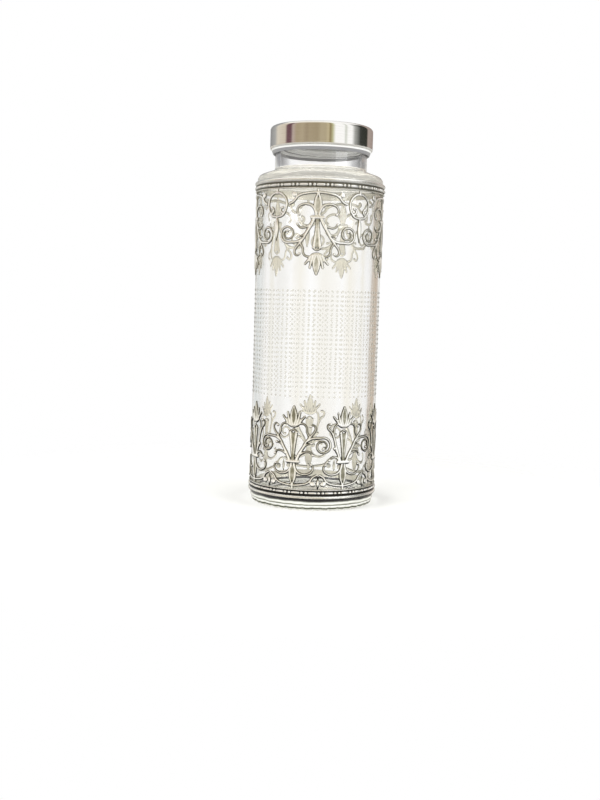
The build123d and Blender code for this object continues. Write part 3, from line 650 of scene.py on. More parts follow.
def glass_bottle(material, heel_material, shoulder_material, dot_material):
    """Spun skins for the foot, the wall, the neck and the inside, with the dotted sheet between."""
    foot_radius = BODY_RADIUS - HEEL_INSET
    ball = (BEARING_INNER_RADIUS ** 2 + PUNT_RISE ** 2) / (2 * PUNT_RISE)
    punt = []
    for step in range(ARC_STEPS):
        radius = BEARING_INNER_RADIUS * step / ARC_STEPS
        punt.append(Vector((radius, sqrt(ball ** 2 - radius ** 2) - ball + PUNT_RISE)))
    heel = rounded([(BEARING_INNER_RADIUS, 0, 0), (foot_radius, 0, HEEL_ROUND),
                    (foot_radius, HEEL_HEIGHT, 0), (BODY_RADIUS, HEEL_HEIGHT + HEEL_STEP, 0),
                    (BODY_RADIUS, LOWER_BAND_FOOT + RIM_HEIGHT / 2, 0)])
    foot = spun("foot", punt + heel, KNURL_COUNT * KNURL_STEPS)
    for vertex in foot.data.vertices:
        cut_knurl(vertex, foot_radius)
    lower = spun("lower_wall", [Vector((BODY_RADIUS, LOWER_BAND_FOOT + RIM_HEIGHT)),
                                Vector((BODY_RADIUS, LOWER_BAND_FOOT + RAIL_HEIGHT)),
                                Vector((BODY_RADIUS, DOT_FOOT))], TURN_STEPS)
    dot_head = DOT_FOOT + DOT_ROWS * DOT_PITCH
    neck_top = LIP_HEIGHT - LIP_ROUND - 2 * SUPPORT
    thread_foot = THREAD_START - THREAD_ROOT_WIDTH
    neck = [Vector((NECK_RADIUS, thread_foot + (neck_top - thread_foot) * row / NECK_ROWS))
            for row in range(NECK_ROWS)]
    upper = rounded([(BODY_RADIUS, dot_head, 0), (BODY_RADIUS, BODY_TOP, SHOULDER_ROUND),
                     (NECK_RADIUS, NECK_FOOT, NECK_FILLET), (NECK_RADIUS, thread_foot - SUPPORT, 0)])
    mouth = NECK_RADIUS - NECK_WALL
    bore = BODY_RADIUS - GLASS_WALL
    inside = rounded([(NECK_RADIUS, neck_top, 0), (NECK_RADIUS, LIP_HEIGHT, LIP_ROUND),
                      (mouth, LIP_HEIGHT, INNER_LIP_ROUND),
                      (mouth, NECK_FOOT - GLASS_WALL, NECK_FILLET),
                      (bore, BODY_TOP - GLASS_WALL, INNER_SHOULDER_ROUND),
                      (bore, FLOOR_THICKNESS, INNER_HEEL_ROUND), (0, FLOOR_THICKNESS, 0)])
    wall = spun("upper_wall", upper + neck + inside, TURN_STEPS)
    for vertex in wall.data.vertices:
        raise_thread(vertex)
    bottle = joined("clear_bottle", [wall, lower, foot, dotted_sheet()])
    bpy.ops.object.mode_set(mode="EDIT")
    bpy.ops.mesh.select_all(action="SELECT")
    bpy.ops.mesh.remove_doubles(threshold=BOTTLE_WELD)
    bpy.ops.mesh.select_all(action="DESELECT")
    bpy.ops.object.mode_set(mode="OBJECT")
    seam = (LOWER_BAND_FOOT + RIM_HEIGHT / 2, LOWER_BAND_FOOT + RIM_HEIGHT)
    for edge in bottle.data.edges:
        ends = [bottle.data.vertices[number].co for number in edge.vertices]
        outside = all(end.xy.length > bore * MM + WELD for end in ends)
        level_with = [all(abs(end.z - level * MM) < SEAM_TOLERANCE for end in ends) for level in seam]
        edge.select = outside and any(level_with)
    bpy.ops.object.mode_set(mode="EDIT")
    bpy.ops.mesh.bridge_edge_loops()
    bpy.ops.mesh.select_all(action="SELECT")
    bpy.ops.mesh.normals_make_consistent(inside=False)
    bpy.ops.object.mode_set(mode="OBJECT")
    bpy.ops.object.shade_smooth()
    clothe(bottle, material, heel_material, shoulder_material, dot_material)
    for face in bottle.data.polygons:
        height = face.center.z / MM
        radius = face.center.xy.length / MM
        if height < LOWER_BAND_FOOT and radius > BEARING_INNER_RADIUS:
            face.material_index = 1
        if UPPER_BAND_HEAD < height < NECK_FOOT + NECK_FILLET and radius > shoulder_skin(height):
            face.material_index = 2
        if DOT_FOOT < height < dot_head and radius > BODY_RADIUS + DOT_FACE_RISE:
            face.material_index = 3
    # Lamps and soft light pass the clear glass
    bottle.visible_shadow = False
    bottle.visible_diffuse = False
    return bottle


def shoulder_skin(height):
    """A radius between the shoulder's outer and inner skins at this height."""
    if height < BODY_TOP - GLASS_WALL:
        return BODY_RADIUS - GLASS_WALL / 2
    return NECK_RADIUS - NECK_WALL / 2


def cut_knurl(vertex, foot_radius):
    """Draws the foot's edge in at each notch of the knurling."""
    height = vertex.co.z / MM
    radius = vertex.co.xy.length / MM
    start = BEARING_INNER_RADIUS + HEEL_ROUND
    if height > KNURL_HEIGHT or radius < start:
        return
    angle = Vector((1, 0)).angle_signed(vertex.co.xy)
    notch = max(0, cos(angle * KNURL_COUNT)) ** KNURL_SHARPNESS
    rise = 1 - height / KNURL_HEIGHT
    share = (radius - start) / (foot_radius - start)
    drawn_in = KNURL_DEPTH * notch * sqrt(rise) * share
    vertex.co.xy *= (radius - drawn_in) / radius
    vertex.co.z += KNURL_LIFT * MM * notch * rise * share


def raise_thread(vertex):
    """Raises the neck's wall along the thread."""
    radius = vertex.co.xy.length / MM
    if abs(radius - NECK_RADIUS) > NECK_TOLERANCE:
        return
    angle = degrees(Vector((1, 0)).angle_signed(vertex.co.xy)) * -1
    ridge = ridge_height(angle, vertex.co.z / MM)
    vertex.co.xy *= (radius + ridge) / radius


# Cap

def cap_shell(material, hem_material):
    """Drawn steel cup, closed all round: round shoulder and an edge rolled in to a bead."""
    inner = CAP_RADIUS - SHELL_WALL
    foot = SHELL_TOP - CAP_HEIGHT
    hem_middle = Vector((CAP_RADIUS - HEM_RADIUS, foot + HEM_RADIUS))
    outline = rounded([(0, SHELL_TOP, 0), (CAP_RADIUS, SHELL_TOP, CAP_ROUND),
                       (CAP_RADIUS, foot + HEM_RADIUS + SUPPORT, 0)])
    outline.append(Vector((CAP_RADIUS, foot + HEM_RADIUS)))
    # The rolled bead curls in from the wall's foot
    for step in range(1, 2 * ARC_STEPS):
        angle = -pi * step / (2 * ARC_STEPS) * HEM_CURL
        outline.append(hem_middle + Vector((cos(angle), sin(angle))) * HEM_RADIUS)
    outline += rounded([(inner, foot + 2 * HEM_RADIUS, 0),
                        (inner, SHELL_TOP - SHELL_WALL, CAP_ROUND - SHELL_WALL),
                        (0, SHELL_TOP - SHELL_WALL, 0)])
    shell = spun("steel_cap", outline, TURN_STEPS)
    clothe(shell, material, hem_material)
    for face in shell.data.polygons:
        if face.center.z < (foot + HEM_RADIUS + SUPPORT) * MM:
            face.material_index = 1
    return shell


# Bands

def rail(name, level, side, material):
    """Rolled strip: a bold round rim, a channel for the beads and a fine line."""
    rim = BAND_RADIUS + RIM_THICKNESS
    web = BAND_RADIUS + WEB_THICKNESS
    line = BAND_RADIUS + LINE_THICKNESS
    corners = [(BAND_RADIUS, 0, 0), (rim, 0, RIM_ROUND), (rim, RIM_HEIGHT, RIM_ROUND),
               (web, RIM_HEIGHT, 0), (web, RIM_HEIGHT + WEB_HEIGHT, 0),
               (line, RIM_HEIGHT + WEB_HEIGHT, LINE_ROUND), (line, RAIL_HEIGHT, LINE_ROUND),
               (BAND_RADIUS, RAIL_HEIGHT, 0), (BAND_RADIUS, 0, 0)]
    outline = rounded([(radius, level + side * height, size) for radius, height, size in corners])
    strip = spun(name, outline, 2 * TURN_STEPS)
    bpy.ops.object.shade_smooth_by_angle(angle=radians(RAIL_CREASE))
    clothe(strip, material)
    return strip


def bead_wire(name, level, side, material):
    """Reels and paired beads on a thin strip, lying in the rail's channel."""
    middle = level + side * (RIM_HEIGHT + WEB_HEIGHT / 2)
    foot = middle - STRIP_HALF_HEIGHT
    head = middle + STRIP_HALF_HEIGHT
    face = WIRE_SEAT + STRIP_THICKNESS
    corners = [(WIRE_SEAT, foot), (face, foot), (face, head), (WIRE_SEAT, head), (WIRE_SEAT, foot)]
    strip = spun(name, [Vector(corner) for corner in corners], TURN_STEPS)
    parts = [strip]
    repeat = 360 / BEAD_REPEATS
    shift = degrees(BEAD_SPACING / WIRE_SEAT) / 2
    for turn in range(BEAD_REPEATS):
        parts.append(reel_at(turn * repeat, middle))
        for step in (-shift, shift):
            parts.append(bead_at(turn * repeat + repeat / 2 + step, middle))
    wire = joined(name, parts)
    clothe(wire, material)
    return wire


def bead_at(angle, height):
    """A half round bead with its flat on the strip."""
    place = radians(angle)
    bpy.ops.object.select_all(action="DESELECT")
    bpy.ops.mesh.primitive_uv_sphere_add(segments=ROUND_SEGMENTS, ring_count=BEAD_RINGS,
                                         radius=BEAD_RADIUS * MM)
    bead = bpy.context.object
    seat_and_turn(bead, place, height)
    return bead


def reel_at(angle, height):
    """A long reel, a little fuller at its middle, with round ends."""
    bpy.ops.object.select_all(action="DESELECT")
    bpy.ops.mesh.primitive_uv_sphere_add(segments=ROUND_SEGMENTS, ring_count=REEL_RINGS,
                                         radius=REEL_RADIUS * MM)
    reel = bpy.context.object
    stretch = (REEL_LENGTH / 2 - REEL_RADIUS) * MM
    for vertex in reel.data.vertices:
        if abs(vertex.co.z) > WELD:
            vertex.co.z += stretch if vertex.co.z > 0 else -stretch
        vertex.co = (vertex.co.x, vertex.co.z, vertex.co.y)
    reel.data.flip_normals()
    seat_and_turn(reel, radians(angle), height)
    return reel


def seat_and_turn(part, angle, height):
    """Flattens a part's back onto the wire's seat and turns it to its place."""
    turn = Matrix.Rotation(angle, 3, "Z")
    for vertex in part.data.vertices:
        along = Vector((max(vertex.co.x, 0) + WIRE_SEAT * MM, 0, vertex.co.z + height * MM))
        bend = Matrix.Rotation(vertex.co.y / (WIRE_SEAT * MM), 3, "Z")
        vertex.co = turn @ (bend @ along)
    select_only(part)
    bpy.ops.object.shade_smooth()


# Stampings, drawn flat in millimetres: across, out, and up from the glass

def scroll_shares(middle, radii, start_angle, turn):
    """Points of a scroll whose radius shrinks steadily as it turns."""
    steps = ceil(abs(turn) / SCROLL_STEP)
    points = []
    for step in range(steps + 1):
        share = step / steps
        angle = radians(start_angle + turn * share)
        radius = radii[0] + (radii[1] - radii[0]) * share
        points.append((middle[0] + radius * cos(angle), middle[1] + radius * sin(angle)))
    return points


def wire(points, widths, pearl=0, mirror=1):
    """A strand as points in shares with a width at each, and a pearl at its end."""
    steps = len(points) - 1
    sizes = [widths[0] + (widths[1] - widths[0]) * number / steps for number in range(steps + 1)]
    places = [(mirror * across, out) for across, out in points]
    return {"points": places, "widths": sizes, "pearl": pearl}


def leaf(shares, width):
    """A pointed leaf as a strand that swells and shrinks."""
    foot, tip = [Vector(point) for point in shares]
    steps = [number / LEAF_STEPS for number in range(LEAF_STEPS + 1)]
    points = [tuple(foot + (tip - foot) * step) for step in steps]
    widths = [max(LEAF_LEAST_SHARE, width * sin(pi * step ** LEAF_FULLNESS)) for step in steps]
    return {"points": points, "widths": widths, "pearl": 0}


def half_stamping(mirror, reach, own_scroll, scroll_middle):
    """Strands on one side of a stamping."""
    strands = []
    chosen = OWN_SCROLL_STRANDS if own_scroll else NO_SCROLL_STRANDS
    for points, widths in SIDE_STRANDS[:2]:
        strands.append(wire(points, widths, 0, mirror))
    for points, widths in SIDE_STRANDS[2:] + chosen:
        pearl = CURL_PEARL_SHARE if widths[0] != widths[1] else 0
        strands.append(wire(points, widths, pearl, mirror))
    if own_scroll:
        turns = scroll_shares(scroll_middle, SCROLL_RADIUS_SHARES, SCROLL_START_ANGLE, SCROLL_TURN)
        strands.append(wire(SCROLL_LEAD_SHARES + tuple(turns), SCROLL_WIDTH_SHARES,
                            CURL_PEARL_SHARE, mirror))
    (across, out), (aside, lower) = CREST_PEARL_SHARES
    stalk = [(across * reach, out), (across * reach + aside, out + lower)]
    strands.append(wire(stalk, (CREST_STALK_WIDTH_SHARE, CREST_STALK_WIDTH_SHARE),
                        CREST_PEARL_SHARE, mirror))
    for points, widths in ((TRUMPET_SIDE_SHARES, TRUMPET_SIDE_WIDTH_SHARES),
                           (MIDDLE_PETAL_EDGE_SHARES, MIDDLE_PETAL_EDGE_WIDTH_SHARES),
                           (SPROUT_EDGE_SHARES, SPROUT_EDGE_WIDTH_SHARES)):
        strands.append(wire(points, widths, 0, mirror))
    return strands


def stamping_strands(reaches, scrolls, scroll_middles):
    """All strands of one flower stamping."""
    right = [(across * reaches[1], out) for across, out in WAVE_SHARES]
    left = [(-across * reaches[0], out) for across, out in WAVE_SHARES]
    strands = [
        wire(CLASP_SHARES, (CLASP_WIDTH_SHARE, CLASP_WIDTH_SHARE)),
        wire(FOOT_POST_SHARES, (FOOT_POST_WIDTH_SHARE, FOOT_POST_WIDTH_SHARE)),
        wire(TRUMPET_CAP_SHARES, (TRUMPET_CAP_WIDTH_SHARE, TRUMPET_CAP_WIDTH_SHARE)),
        wire(CALYX_SHARES, (CALYX_WIDTH_SHARE, CALYX_WIDTH_SHARE)),
        wire(left[::-1] + right, (WAVE_WIDTH_SHARE, WAVE_WIDTH_SHARE)),
    ]
    for mirror, reach, own_scroll, middle in zip((-1, 1), reaches, scrolls, scroll_middles):
        strands += half_stamping(mirror, reach, own_scroll, middle)
    return strands


def link_strands():
    """Strands of the horseshoe and hanging leaf between two upper stampings."""
    arch = scroll_shares((0, HORSESHOE_MIDDLE_SHARE), HORSESHOE_RADIUS_SHARES,
                         HORSESHOE_START_ANGLE, HORSESHOE_TURN)
    width = (HORSESHOE_WIDTH_SHARE, HORSESHOE_WIDTH_SHARE)
    strands = [wire(arch, width), wire(LINK_POST_SHARES, width),
               leaf(LINK_LEAF_SHARES, LINK_LEAF_WIDTH_SHARE)]
    for mirror in (-1, 1):
        strands.append(wire(HORSESHOE_CURL_SHARES, width, CURL_PEARL_SHARE, mirror))
        strands.append(wire(LINK_BRIDGE_SHARES, width, 0, mirror))
    return strands


def drawn_flat(name, strands, floors=()):
    """Strands as round wires, with pearls at their ends, welded to one skin like a casting."""
    flange = round_wires(name, strands, FLANGE_REACH)
    for vertex in flange.data.vertices:
        vertex.co.z *= FLANGE_FLATNESS
    parts = [round_wires(name, strands, -CORE_INSET), flange]
    for strand in strands:
        ends = [(strand["points"][0], strand["widths"][0] / 2),
                (strand["points"][-1], max(strand["pearl"], strand["widths"][-1] / 2))]
        for (across, out), radius in ends:
            bpy.ops.object.select_all(action="DESELECT")
            bpy.ops.mesh.primitive_ico_sphere_add(subdivisions=PEARL_DIVISIONS, radius=radius * UNIT,
                                                  location=(across * UNIT, out * UNIT, 0))
            bpy.ops.object.transform_apply(location=True, rotation=False, scale=False)
            parts.append(bpy.context.object)
    parts += [recessed_floor(floor) for floor in floors]
    pattern = joined(name, parts)
    apply_modifier(pattern, "REMESH", {"mode": "VOXEL", "voxel_size": VOXEL})
    apply_modifier(pattern, "SMOOTH", {"factor": SOFTEN_FACTOR, "iterations": SOFTEN_ROUNDS})
    return pattern


def round_wires(name, strands, extra):
    """Strands as round wires, each this much thicker than its core all round."""
    curve = bpy.data.curves.new(name, "CURVE")
    curve.dimensions = "3D"
    curve.bevel_depth = 1.0
    curve.bevel_resolution = WIRE_BEVEL_STEPS
    curve.resolution_u = WIRE_CURVE_STEPS
    curve.use_fill_caps = True
    for strand in strands:
        spline = curve.splines.new("BEZIER")
        spline.bezier_points.add(len(strand["points"]) - 1)
        knots = zip(spline.bezier_points, strand["points"], strand["widths"])
        for knot, (across, out), width in knots:
            knot.co = (across * UNIT, out * UNIT, 0)
            knot.radius = max(width * UNIT / 2 + extra, THINNEST_CORE)
            knot.handle_left_type = "AUTO"
            knot.handle_right_type = "AUTO"
    wires = bpy.data.objects.new(name, curve)
    bpy.context.scene.collection.objects.link(wires)
    select_only(wires)
    bpy.ops.object.convert(target="MESH")
    return bpy.context.object


def recessed_floor(shares):
    """A low plate between two strands."""
    places = [Vector((across * UNIT, out * UNIT, 0)) for across, out in shares]
    bpy.ops.object.select_all(action="DESELECT")
    bpy.ops.mesh.primitive_cube_add(size=1, location=(0, 0, 0))
    plate = bpy.context.object
    for vertex in plate.data.vertices:
        across, out, up = vertex.co
        number = (1 if across > 0 else 0) if out < 0 else (2 if across > 0 else 3)
        vertex.co = places[number] + Vector((0, 0, FLOOR_TOP if up > 0 else FLOOR_FOOT))
    return plate


def wrap_round(piece, angle, level, side):
    """Lays a flat pattern on the glass, with a relief as thick as the band and a hollow behind it."""
    start = level + side * (RAIL_HEIGHT + SOLDER_GAP)
    for vertex in piece.data.vertices:
        across, out, up = vertex.co
        if up <= -RELIEF_BASE:
            relief = HOLLOW_DEPTH * (1 - exp((up + RELIEF_BASE) / RELIEF_SCALE))
        elif up < 0:
            relief = up + RELIEF_BASE
        else:
            rounding = 1 - exp(-up / RELIEF_SCALE)
            relief = RELIEF_BASE + (FILIGREE_THICKNESS - RELIEF_BASE) * rounding
        radius = BAND_RADIUS + min(relief, FILIGREE_THICKNESS)
        turn = radians(angle) + across / BAND_RADIUS
        height = start + side * max(out, 0)
        vertex.co = (radius * sin(turn) * MM, -radius * cos(turn) * MM, height * MM)
    if side < 0:
        piece.data.flip_normals()
    select_only(piece)
    bpy.ops.object.shade_smooth()


def reaches_of(angles):
    """For each stamping, how far it may reach to the left and to the right, in pattern units."""
    right = [radians(gap) * BAND_RADIUS / 2 / UNIT for gap in gaps_between(angles)]
    left = [right[-1]] + right[:-1]
    return list(zip(left, right))


def own_scrolls(scrolls):
    """Whether the left and the right scroll are the stamping's own."""
    return (scrolls in ("left", "both"), scrolls in ("right", "both"))


def joint_reach(reach):
    """A reach that leaves the soldered joint's gap."""
    return reach - 2 * SOLDER_GAP / UNIT


def lower_flowers():
    """The seven stampings of the lower band."""
    pieces = []
    rows = zip(LOWER_ANGLES, reaches_of(LOWER_ANGLES), LOWER_SCROLLS)
    for number, (angle, reach, scrolls) in enumerate(rows, 1):
        ends = [joint_reach(side) - WAVE_WIDTH_SHARE / 2 for side in reach]
        middles = (SCROLL_MIDDLE_SHARES, SCROLL_MIDDLE_SHARES)
        strands = stamping_strands(ends, own_scrolls(scrolls), middles)
        piece = drawn_flat(f"lower_flower_{number}_relief", strands, FLOWER_FLOORS_SHARES)
        wrap_round(piece, angle, LOWER_BAND_FOOT, 1)
        pieces.append(piece)
    return pieces


def upper_flowers():
    """The five stampings of the upper band, upside down."""
    arch = HORSESHOE_RADIUS_SHARES[0] + HORSESHOE_WIDTH_SHARE / 2 + LINK_CLEARANCE_SHARE
    scroll = (SCROLL_RADIUS_SHARES[0] + SCROLL_WIDTH_SHARES[0] / 2
              + LINK_LEAF_WIDTH_SHARE / 2 + LINK_CLEARANCE_SHARE)
    linked_sides = list(zip((UPPER_LINKED[-1],) + UPPER_LINKED[:-1], UPPER_LINKED))
    pieces = []
    rows = zip(UPPER_ANGLES, reaches_of(UPPER_ANGLES), UPPER_SCROLLS, linked_sides)
    for number, (angle, reach, scrolls, linked) in enumerate(rows, 1):
        ends = [side - arch if link else joint_reach(side) for side, link in zip(reach, linked)]
        ends = [end - WAVE_WIDTH_SHARE / 2 for end in ends]
        middles = [(side - scroll if link else SCROLL_MIDDLE_SHARES[0], SCROLL_MIDDLE_SHARES[1])
                   for side, link in zip(reach, linked)]
        strands = stamping_strands(ends, own_scrolls(scrolls), middles)
        piece = drawn_flat(f"upper_flower_{number}_relief", strands, FLOWER_FLOORS_SHARES)
        wrap_round(piece, angle, UPPER_BAND_HEAD, -1)
        pieces.append(piece)
    return pieces


def gap_middles(angles, wanted):
    """The angles half way across the wanted gaps between stampings."""
    return [angle + gap / 2 for angle, gap, want in zip(angles, gaps_between(angles), wanted) if want]


def upper_links():
    """The links, each half way between two upper stampings."""
    pieces = []
    for number, angle in enumerate(gap_middles(UPPER_ANGLES, UPPER_LINKED), 1):
        piece = drawn_flat(f"upper_link_{number}_relief", link_strands())
        wrap_round(piece, angle, UPPER_BAND_HEAD, -1)
        pieces.append(piece)
    return pieces


def drops(name, angles, level, side):
    """Small drops in the valleys between stampings, as one piece."""
    parts = []
    for angle in angles:
        part = drawn_flat(name, [leaf(DROP_SHARES, DROP_WIDTH_SHARE)])
        wrap_round(part, angle, level, side)
        parts.append(part)
    return joined(name, parts)


# Studio

# What metal mirrors, and what glass bends into its edges, as compass direction and colour. The middle
# mirror bands are the cap's reflection in the photograph, read off place by place across it. The
# other four were set until renders looked like the photograph
MIDDLE_MIRROR_BANDS = [(-180, "#8E8E8F"), (-150, "#969696"), (-128, "#ABABAA"), (-116, "#DAD2C4"),
                       (-90, "#CFC4B4"), (-84, "#6E5157"), (-73, "#6E5157"), (-68, "#B8A79F"),
                       (-58, "#A99A80"), (-44, "#B0A289"), (-34, "#9F9078"), (-28, "#A89A80"),
                       (-10, "#A3957A"), (-2, "#B3A68B"), (8, "#B2A589"), (14, "#C4B796"),
                       (18, "#8B7B57"), (24, "#C2C09A"), (30, "#FFFFFF"), (50, "#FFFFFF"),
                       (54, "#CDD1C8"), (60, "#FFFFFF"), (70, "#FFFFFF"), (78, "#A7A8A5"),
                       (95, "#3A3B37"), (120, "#34352F"), (126, "#A99B94"), (165, "#9C8E87"),
                       (180, "#8E8E8F")]
LOW_MIRROR_BANDS = [(-180, "#C4C3BC"), (-150, "#D8D6CF"), (-115, "#F6F4EE"), (-84, "#CFC6BC"),
                    (-66, "#F7F3EA"), (-30, "#F0E9DB"), (-8, "#FAF6ED"), (14, "#D3CCB6"),
                    (26, "#FFFFFF"), (66, "#FFFFFF"), (84, "#C4C4BE"), (110, "#9A9A92"),
                    (130, "#D8CFC5"), (180, "#C4C3BC")]
HIGH_MIRROR_BANDS = [(-180, "#F4F4F2"), (-95, "#FAF7F1"), (-62, "#E0D9CA"), (0, "#DDD6C4"),
                     (22, "#ECE9DA"), (32, "#FFFFFF"), (110, "#FFFFFF"), (180, "#F4F4F2")]
LOW_EDGE_BANDS = [(-180, "#FFFFFF"), (-178.5, "#F4F1E8"), (-177, "#FFFFFF"), (-175, "#E9E8E3"),
                  (-173.5, "#FFFFFF"), (-171, "#F0EEE4"), (-169, "#FFFFFF"), (-166, "#FFFFFF"),
                  (-156, "#D3D8D8"), (-140, "#E2E4E3"), (-95, "#CFCFCA"), (-70, "#EDEDEA"),
                  (70, "#EDECE8"), (95, "#C9C5BC"), (138, "#C6BAAA"), (156, "#B39F8A"),
                  (162, "#FFFFFF"), (168, "#FFFFFF"), (170, "#F5F2E9"), (172, "#FFFFFF"),
                  (174.5, "#F2EEE3"), (176, "#FFFFFF"), (178, "#F4F1E8"), (180, "#FFFFFF")]
HIGH_EDGE_BANDS = [(-180, "#FFFFFF"), (-173, "#FFFFFF"), (-170, "#CACACB"), (-160, "#8A8A8C"),
                   (-135, "#98989A"), (-90, "#B0B0B0"), (90, "#A8A8A8"), (138, "#8C8C8C"),
                   (160, "#8C8C8D"), (170, "#CACACB"), (173, "#FFFFFF"), (180, "#FFFFFF")]

# The upward shares of a direction between which one look of the surroundings turns into the next
MIRROR_MIDDLE_LEVELS = (0.122, 0.138)
MIRROR_HIGH_LEVELS = (0.62, 0.76)
MIRROR_WHITE_LEVELS = (0.9, 0.99)
MIRROR_FOOT_LEVELS = (-0.5, -0.3)
EDGE_HIGH_LEVELS = (0.11, 0.122)
EDGE_CREAM_LEVELS = (0.18, 0.26)
EDGE_WHITE_LEVELS = (0.72, 0.86)
EDGE_FOOT_LEVELS = (-0.3, -0.2)

SOFT_LIGHT_STRENGTH = 0.86
SEEN_STRENGTH = 1.05
# Lamps, as name, place, size and power
LAMPS = (("key_lamp", (-0.45, -0.5, 0.6), 0.5, 4.0),
         ("fill_lamp", (0.5, -0.35, 0.35), 0.4, 2.0))
BOARD_RADIUS = 0.6
BOARD_FADE = (0.05, 0.22)        # reach at which the board starts to fade, and is gone


def compass_ramp(tree, share, bands):
    """Colour by compass direction: 0 degrees is towards the camera, 90 is to its right."""
    ramp = add_node(tree, "ValToRGB", links=[("Fac", share)])
    set_ramp(ramp, [((angle + 180) / 360, code) for angle, code in bands])
    return ramp.outputs[0]


def by_height(tree, height, levels, under, over):
    """A colour below the first level that turns into another above the second."""
    share = add_node(tree, "MapRange", [("From Min", levels[0]), ("From Max", levels[1])],
                     [("Value", height)])
    settings = [("data_type", "RGBA")]
    links = [(0, share)]
    for socket, colour in ((6, under), (7, over)):
        if isinstance(colour, str):
            settings.append((socket, linear(colour)))
        else:
            links.append((socket, colour))
    return add_node(tree, "Mix", settings, links).outputs[2]


def surrounding_colours(tree, place):
    """Colours by direction: what polished metal mirrors, and what clear glass bends into its edges."""
    parts = add_node(tree, "SeparateXYZ", links=[(0, place)])
    height = parts.outputs["Z"]
    facing = add_node(tree, "Math", [("operation", "MULTIPLY"), (1, -1.0)],
                      [(0, parts.outputs["Y"])])
    turn = add_node(tree, "Math", [("operation", "ARCTAN2")],
                    [(0, parts.outputs["X"]), (1, facing)])
    share = add_node(tree, "MapRange", [("From Min", -pi), ("From Max", pi)],
                     [("Value", turn)]).outputs[0]
    middle, low, high, low_edge, high_edge = [compass_ramp(tree, share, bands) for bands in (
        MIDDLE_MIRROR_BANDS, LOW_MIRROR_BANDS, HIGH_MIRROR_BANDS, LOW_EDGE_BANDS, HIGH_EDGE_BANDS)]
    mirrored = by_height(tree, height, MIRROR_MIDDLE_LEVELS, low, middle)
    mirrored = by_height(tree, height, MIRROR_HIGH_LEVELS, mirrored, high)
    mirrored = by_height(tree, height, MIRROR_WHITE_LEVELS, mirrored, "#FFFFFF")
    mirrored = by_height(tree, height, MIRROR_FOOT_LEVELS, "#BFBDB8", mirrored)
    bent = by_height(tree, height, EDGE_HIGH_LEVELS, low_edge, high_edge)
    bent = by_height(tree, height, EDGE_CREAM_LEVELS, bent, "#EBE8DE")
    bent = by_height(tree, height, EDGE_WHITE_LEVELS, bent, "#FFFFFF")
    bent = by_height(tree, height, EDGE_FOOT_LEVELS, "#FFFFFF", bent)
    return mirrored, bent


def light_surroundings():
    """White for the eye, bands of colour for metal and glass, and soft light for the rest."""
    world = bpy.data.worlds.new("pale_surroundings")
    bpy.context.scene.world = world
    world.use_nodes = True
    tree = world.node_tree
    tree.nodes.clear()
    place = add_node(tree, "TexCoord")
    path = add_node(tree, "LightPath")
    soft = add_node(tree, "Background", [
        ("Color", linear("#F7F7F5")), ("Strength", SOFT_LIGHT_STRENGTH)])
    white = add_node(tree, "Background", [("Color", (1, 1, 1, 1)), ("Strength", 1.0)])
    mirrored, bent = surrounding_colours(tree, place.outputs["Generated"])
    lights = soft.outputs[0]
    for ray, colour in (("Is Glossy Ray", mirrored), ("Is Transmission Ray", bent)):
        seen = add_node(tree, "Background", [("Strength", SEEN_STRENGTH)], [("Color", colour)])
        mixed = add_node(tree, "MixShader", links=[
            (0, path.outputs[ray]), (1, lights), (2, seen)])
        lights = mixed.outputs[0]
    whole = add_node(tree, "MixShader", links=[
        (0, path.outputs["Is Camera Ray"]), (1, lights), (2, white)])
    add_node(tree, "OutputWorld", links=[("Surface", whole)])


def soft_lamp(name, place, size, power):
    """A square lamp that faces the middle of the bottle."""
    lamp = bpy.data.lights.new(name, "AREA")
    lamp.shape = "SQUARE"
    lamp.size = size
    lamp.energy = power
    holder = bpy.data.objects.new(name, lamp)
    bpy.context.scene.collection.objects.link(holder)
    holder.location = place
    holder.visible_glossy = False
    aim = Vector((0, 0, SHELL_TOP / 2 * MM)) - Vector(place)
    holder.rotation_euler = aim.to_track_quat("-Z", "Y").to_euler()


def pale_floor():
    """A round pale floor that fades out into the white surroundings."""
    bpy.ops.object.select_all(action="DESELECT")
    bpy.ops.mesh.primitive_circle_add(vertices=64, radius=BOARD_RADIUS, fill_type="NGON",
                                      location=(0, 0, 0))
    floor = named("floor")
    material, tree = new_material("pale_board")
    place = add_node(tree, "TexCoord")
    reach = add_node(tree, "VectorMath", [("operation", "LENGTH")],
                     [(0, place.outputs["Object"])])
    fade = add_node(tree, "MapRange", [
        ("interpolation_type", "SMOOTHSTEP"), ("From Min", BOARD_FADE[0]), ("From Max", BOARD_FADE[1])],
        [("Value", reach.outputs["Value"])])
    board = add_node(tree, "BsdfDiffuse", [("Color", linear("#F4F4F2"))])
    nothing = add_node(tree, "BsdfTransparent")
    both = add_node(tree, "MixShader", links=[
        (0, fade), (1, board), (2, nothing)])
    add_node(tree, "OutputMaterial", links=[("Surface", both)])
    clothe(floor, material)
    floor.visible_glossy = False


def put_in_place(piece, body, slot, *nodes):
    """Ties a piece to its body and hides the nodes that it stands for. Its finish, the slot, is not
    used.
    """
    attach(piece, body)
    if nodes:
        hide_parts(*nodes)


bpy.context.scene.view_settings.view_transform = "Standard"
place_camera()
light_surroundings()
for name, place, size, power in LAMPS:
    soft_lamp(name, place, size, power)
pale_floor()

# Clear, faintly wavy walls; a shoulder made a little milky as painted light; dots made slightly greyer
# as painted shade
glass = pressed_glass("pressed_soda_lime_glass", "#FDFDFD", 1.0, 0.0, 9.0)
shoulder_glass = pressed_glass("shoulder_glass_milky_as_painted_light", "#FEFCF4", 0.78, 0.01, 7.0)
# Painted shade: the dots' glass is greyer and less clear than the wall's
dot_glass = pressed_glass("pressed_dot_glass", "#D3D1C8", 0.73, 0.1, 9.0)
heel_glass = ringed_heel_glass()
silver = silver_plate()
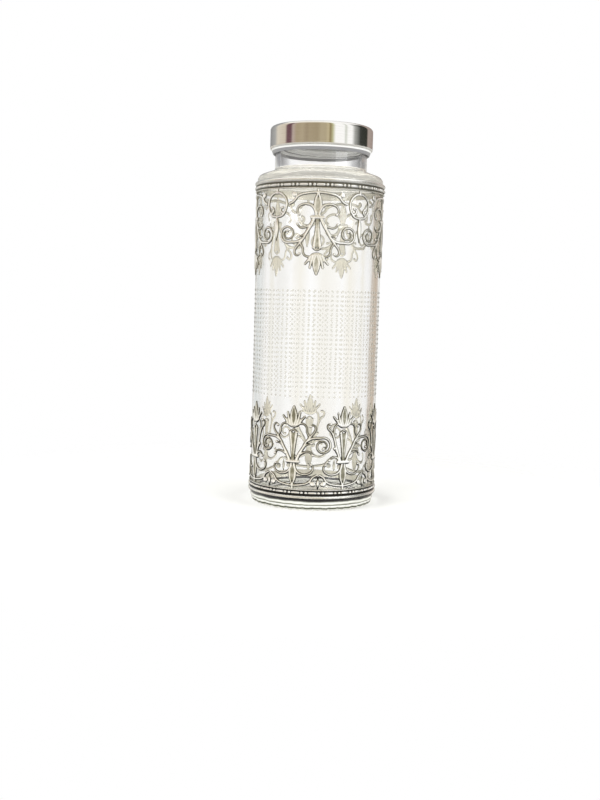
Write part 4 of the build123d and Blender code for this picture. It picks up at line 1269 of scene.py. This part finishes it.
# A bright side that mirrors upright bands, a softer rolled edge, and a dull plate under the cap
steel = brushed_steel("drawn_stainless_steel", ("#F0EEEA", "#F8F7F4"), 0.06)
hem_steel = brushed_steel("rolled_edge_steel", ("#F2F1EF", "#F8F8F6"), 0.7)
plate_steel = brushed_steel("pressed_stainless_steel", ("#C9C9CB", "#D6D6D8"), 0.5)
# A satin liner, grey as painted shade with white painted light on its flange, and pale matt rubber
plastic = moulded("moulded_polypropylene_painted_light_and_shade", ("#8B8B8E", "#949496"), 0.35, 0.8)
lighten_flange(plastic)
rubber = moulded("pale_silicone_rubber", ("#DAD9D3", "#E2E1DC"), 0.6, 0.6)

bottle = glass_bottle(glass, heel_glass, shoulder_glass, dot_glass)
put_in_place(bottle, "bottle", "bottle_glass", "glass_bottle")
put_in_place(cap_shell(steel, hem_steel), "cap", "cap_steel", "cap_shell")
for node, material, slot in (("cap_liner", plastic, "liner_plastic"),
                             ("cap_seal", rubber, "seal_rubber"),
                             ("plug_ring", rubber, "seal_rubber"),
                             ("sprinkler_plate", plate_steel, "plate_steel")):
    clothe(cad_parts[node], material)
for band, level, side in (("lower", LOWER_BAND_FOOT, 1), ("upper", UPPER_BAND_HEAD, -1)):
    strip = rail(f"{band}_rail_strip", level, side, silver)
    put_in_place(strip, "bottle", "silver_plate", f"{band}_rail")
    beads = bead_wire(f"{band}_beads", level, side, silver)
    put_in_place(beads, "bottle", "silver_plate", f"{band}_bead_wire")
for piece in lower_flowers() + upper_flowers() + upper_links():
    clothe(piece, silver)
    put_in_place(piece, "bottle", "silver_plate", piece.name.removesuffix("_relief"))
all_gaps = gap_middles(LOWER_ANGLES, [True] * len(LOWER_ANGLES))
free_gap = gap_middles(UPPER_ANGLES, [not link for link in UPPER_LINKED])
for name, angles, level, side in (("lower_drops", all_gaps, LOWER_BAND_FOOT, 1),
                                  ("upper_drop", free_gap, UPPER_BAND_HEAD, -1)):
    piece = drops(f"{name}_relief", angles, level, side)
    clothe(piece, silver)
    put_in_place(piece, "bottle", "silver_plate", name)
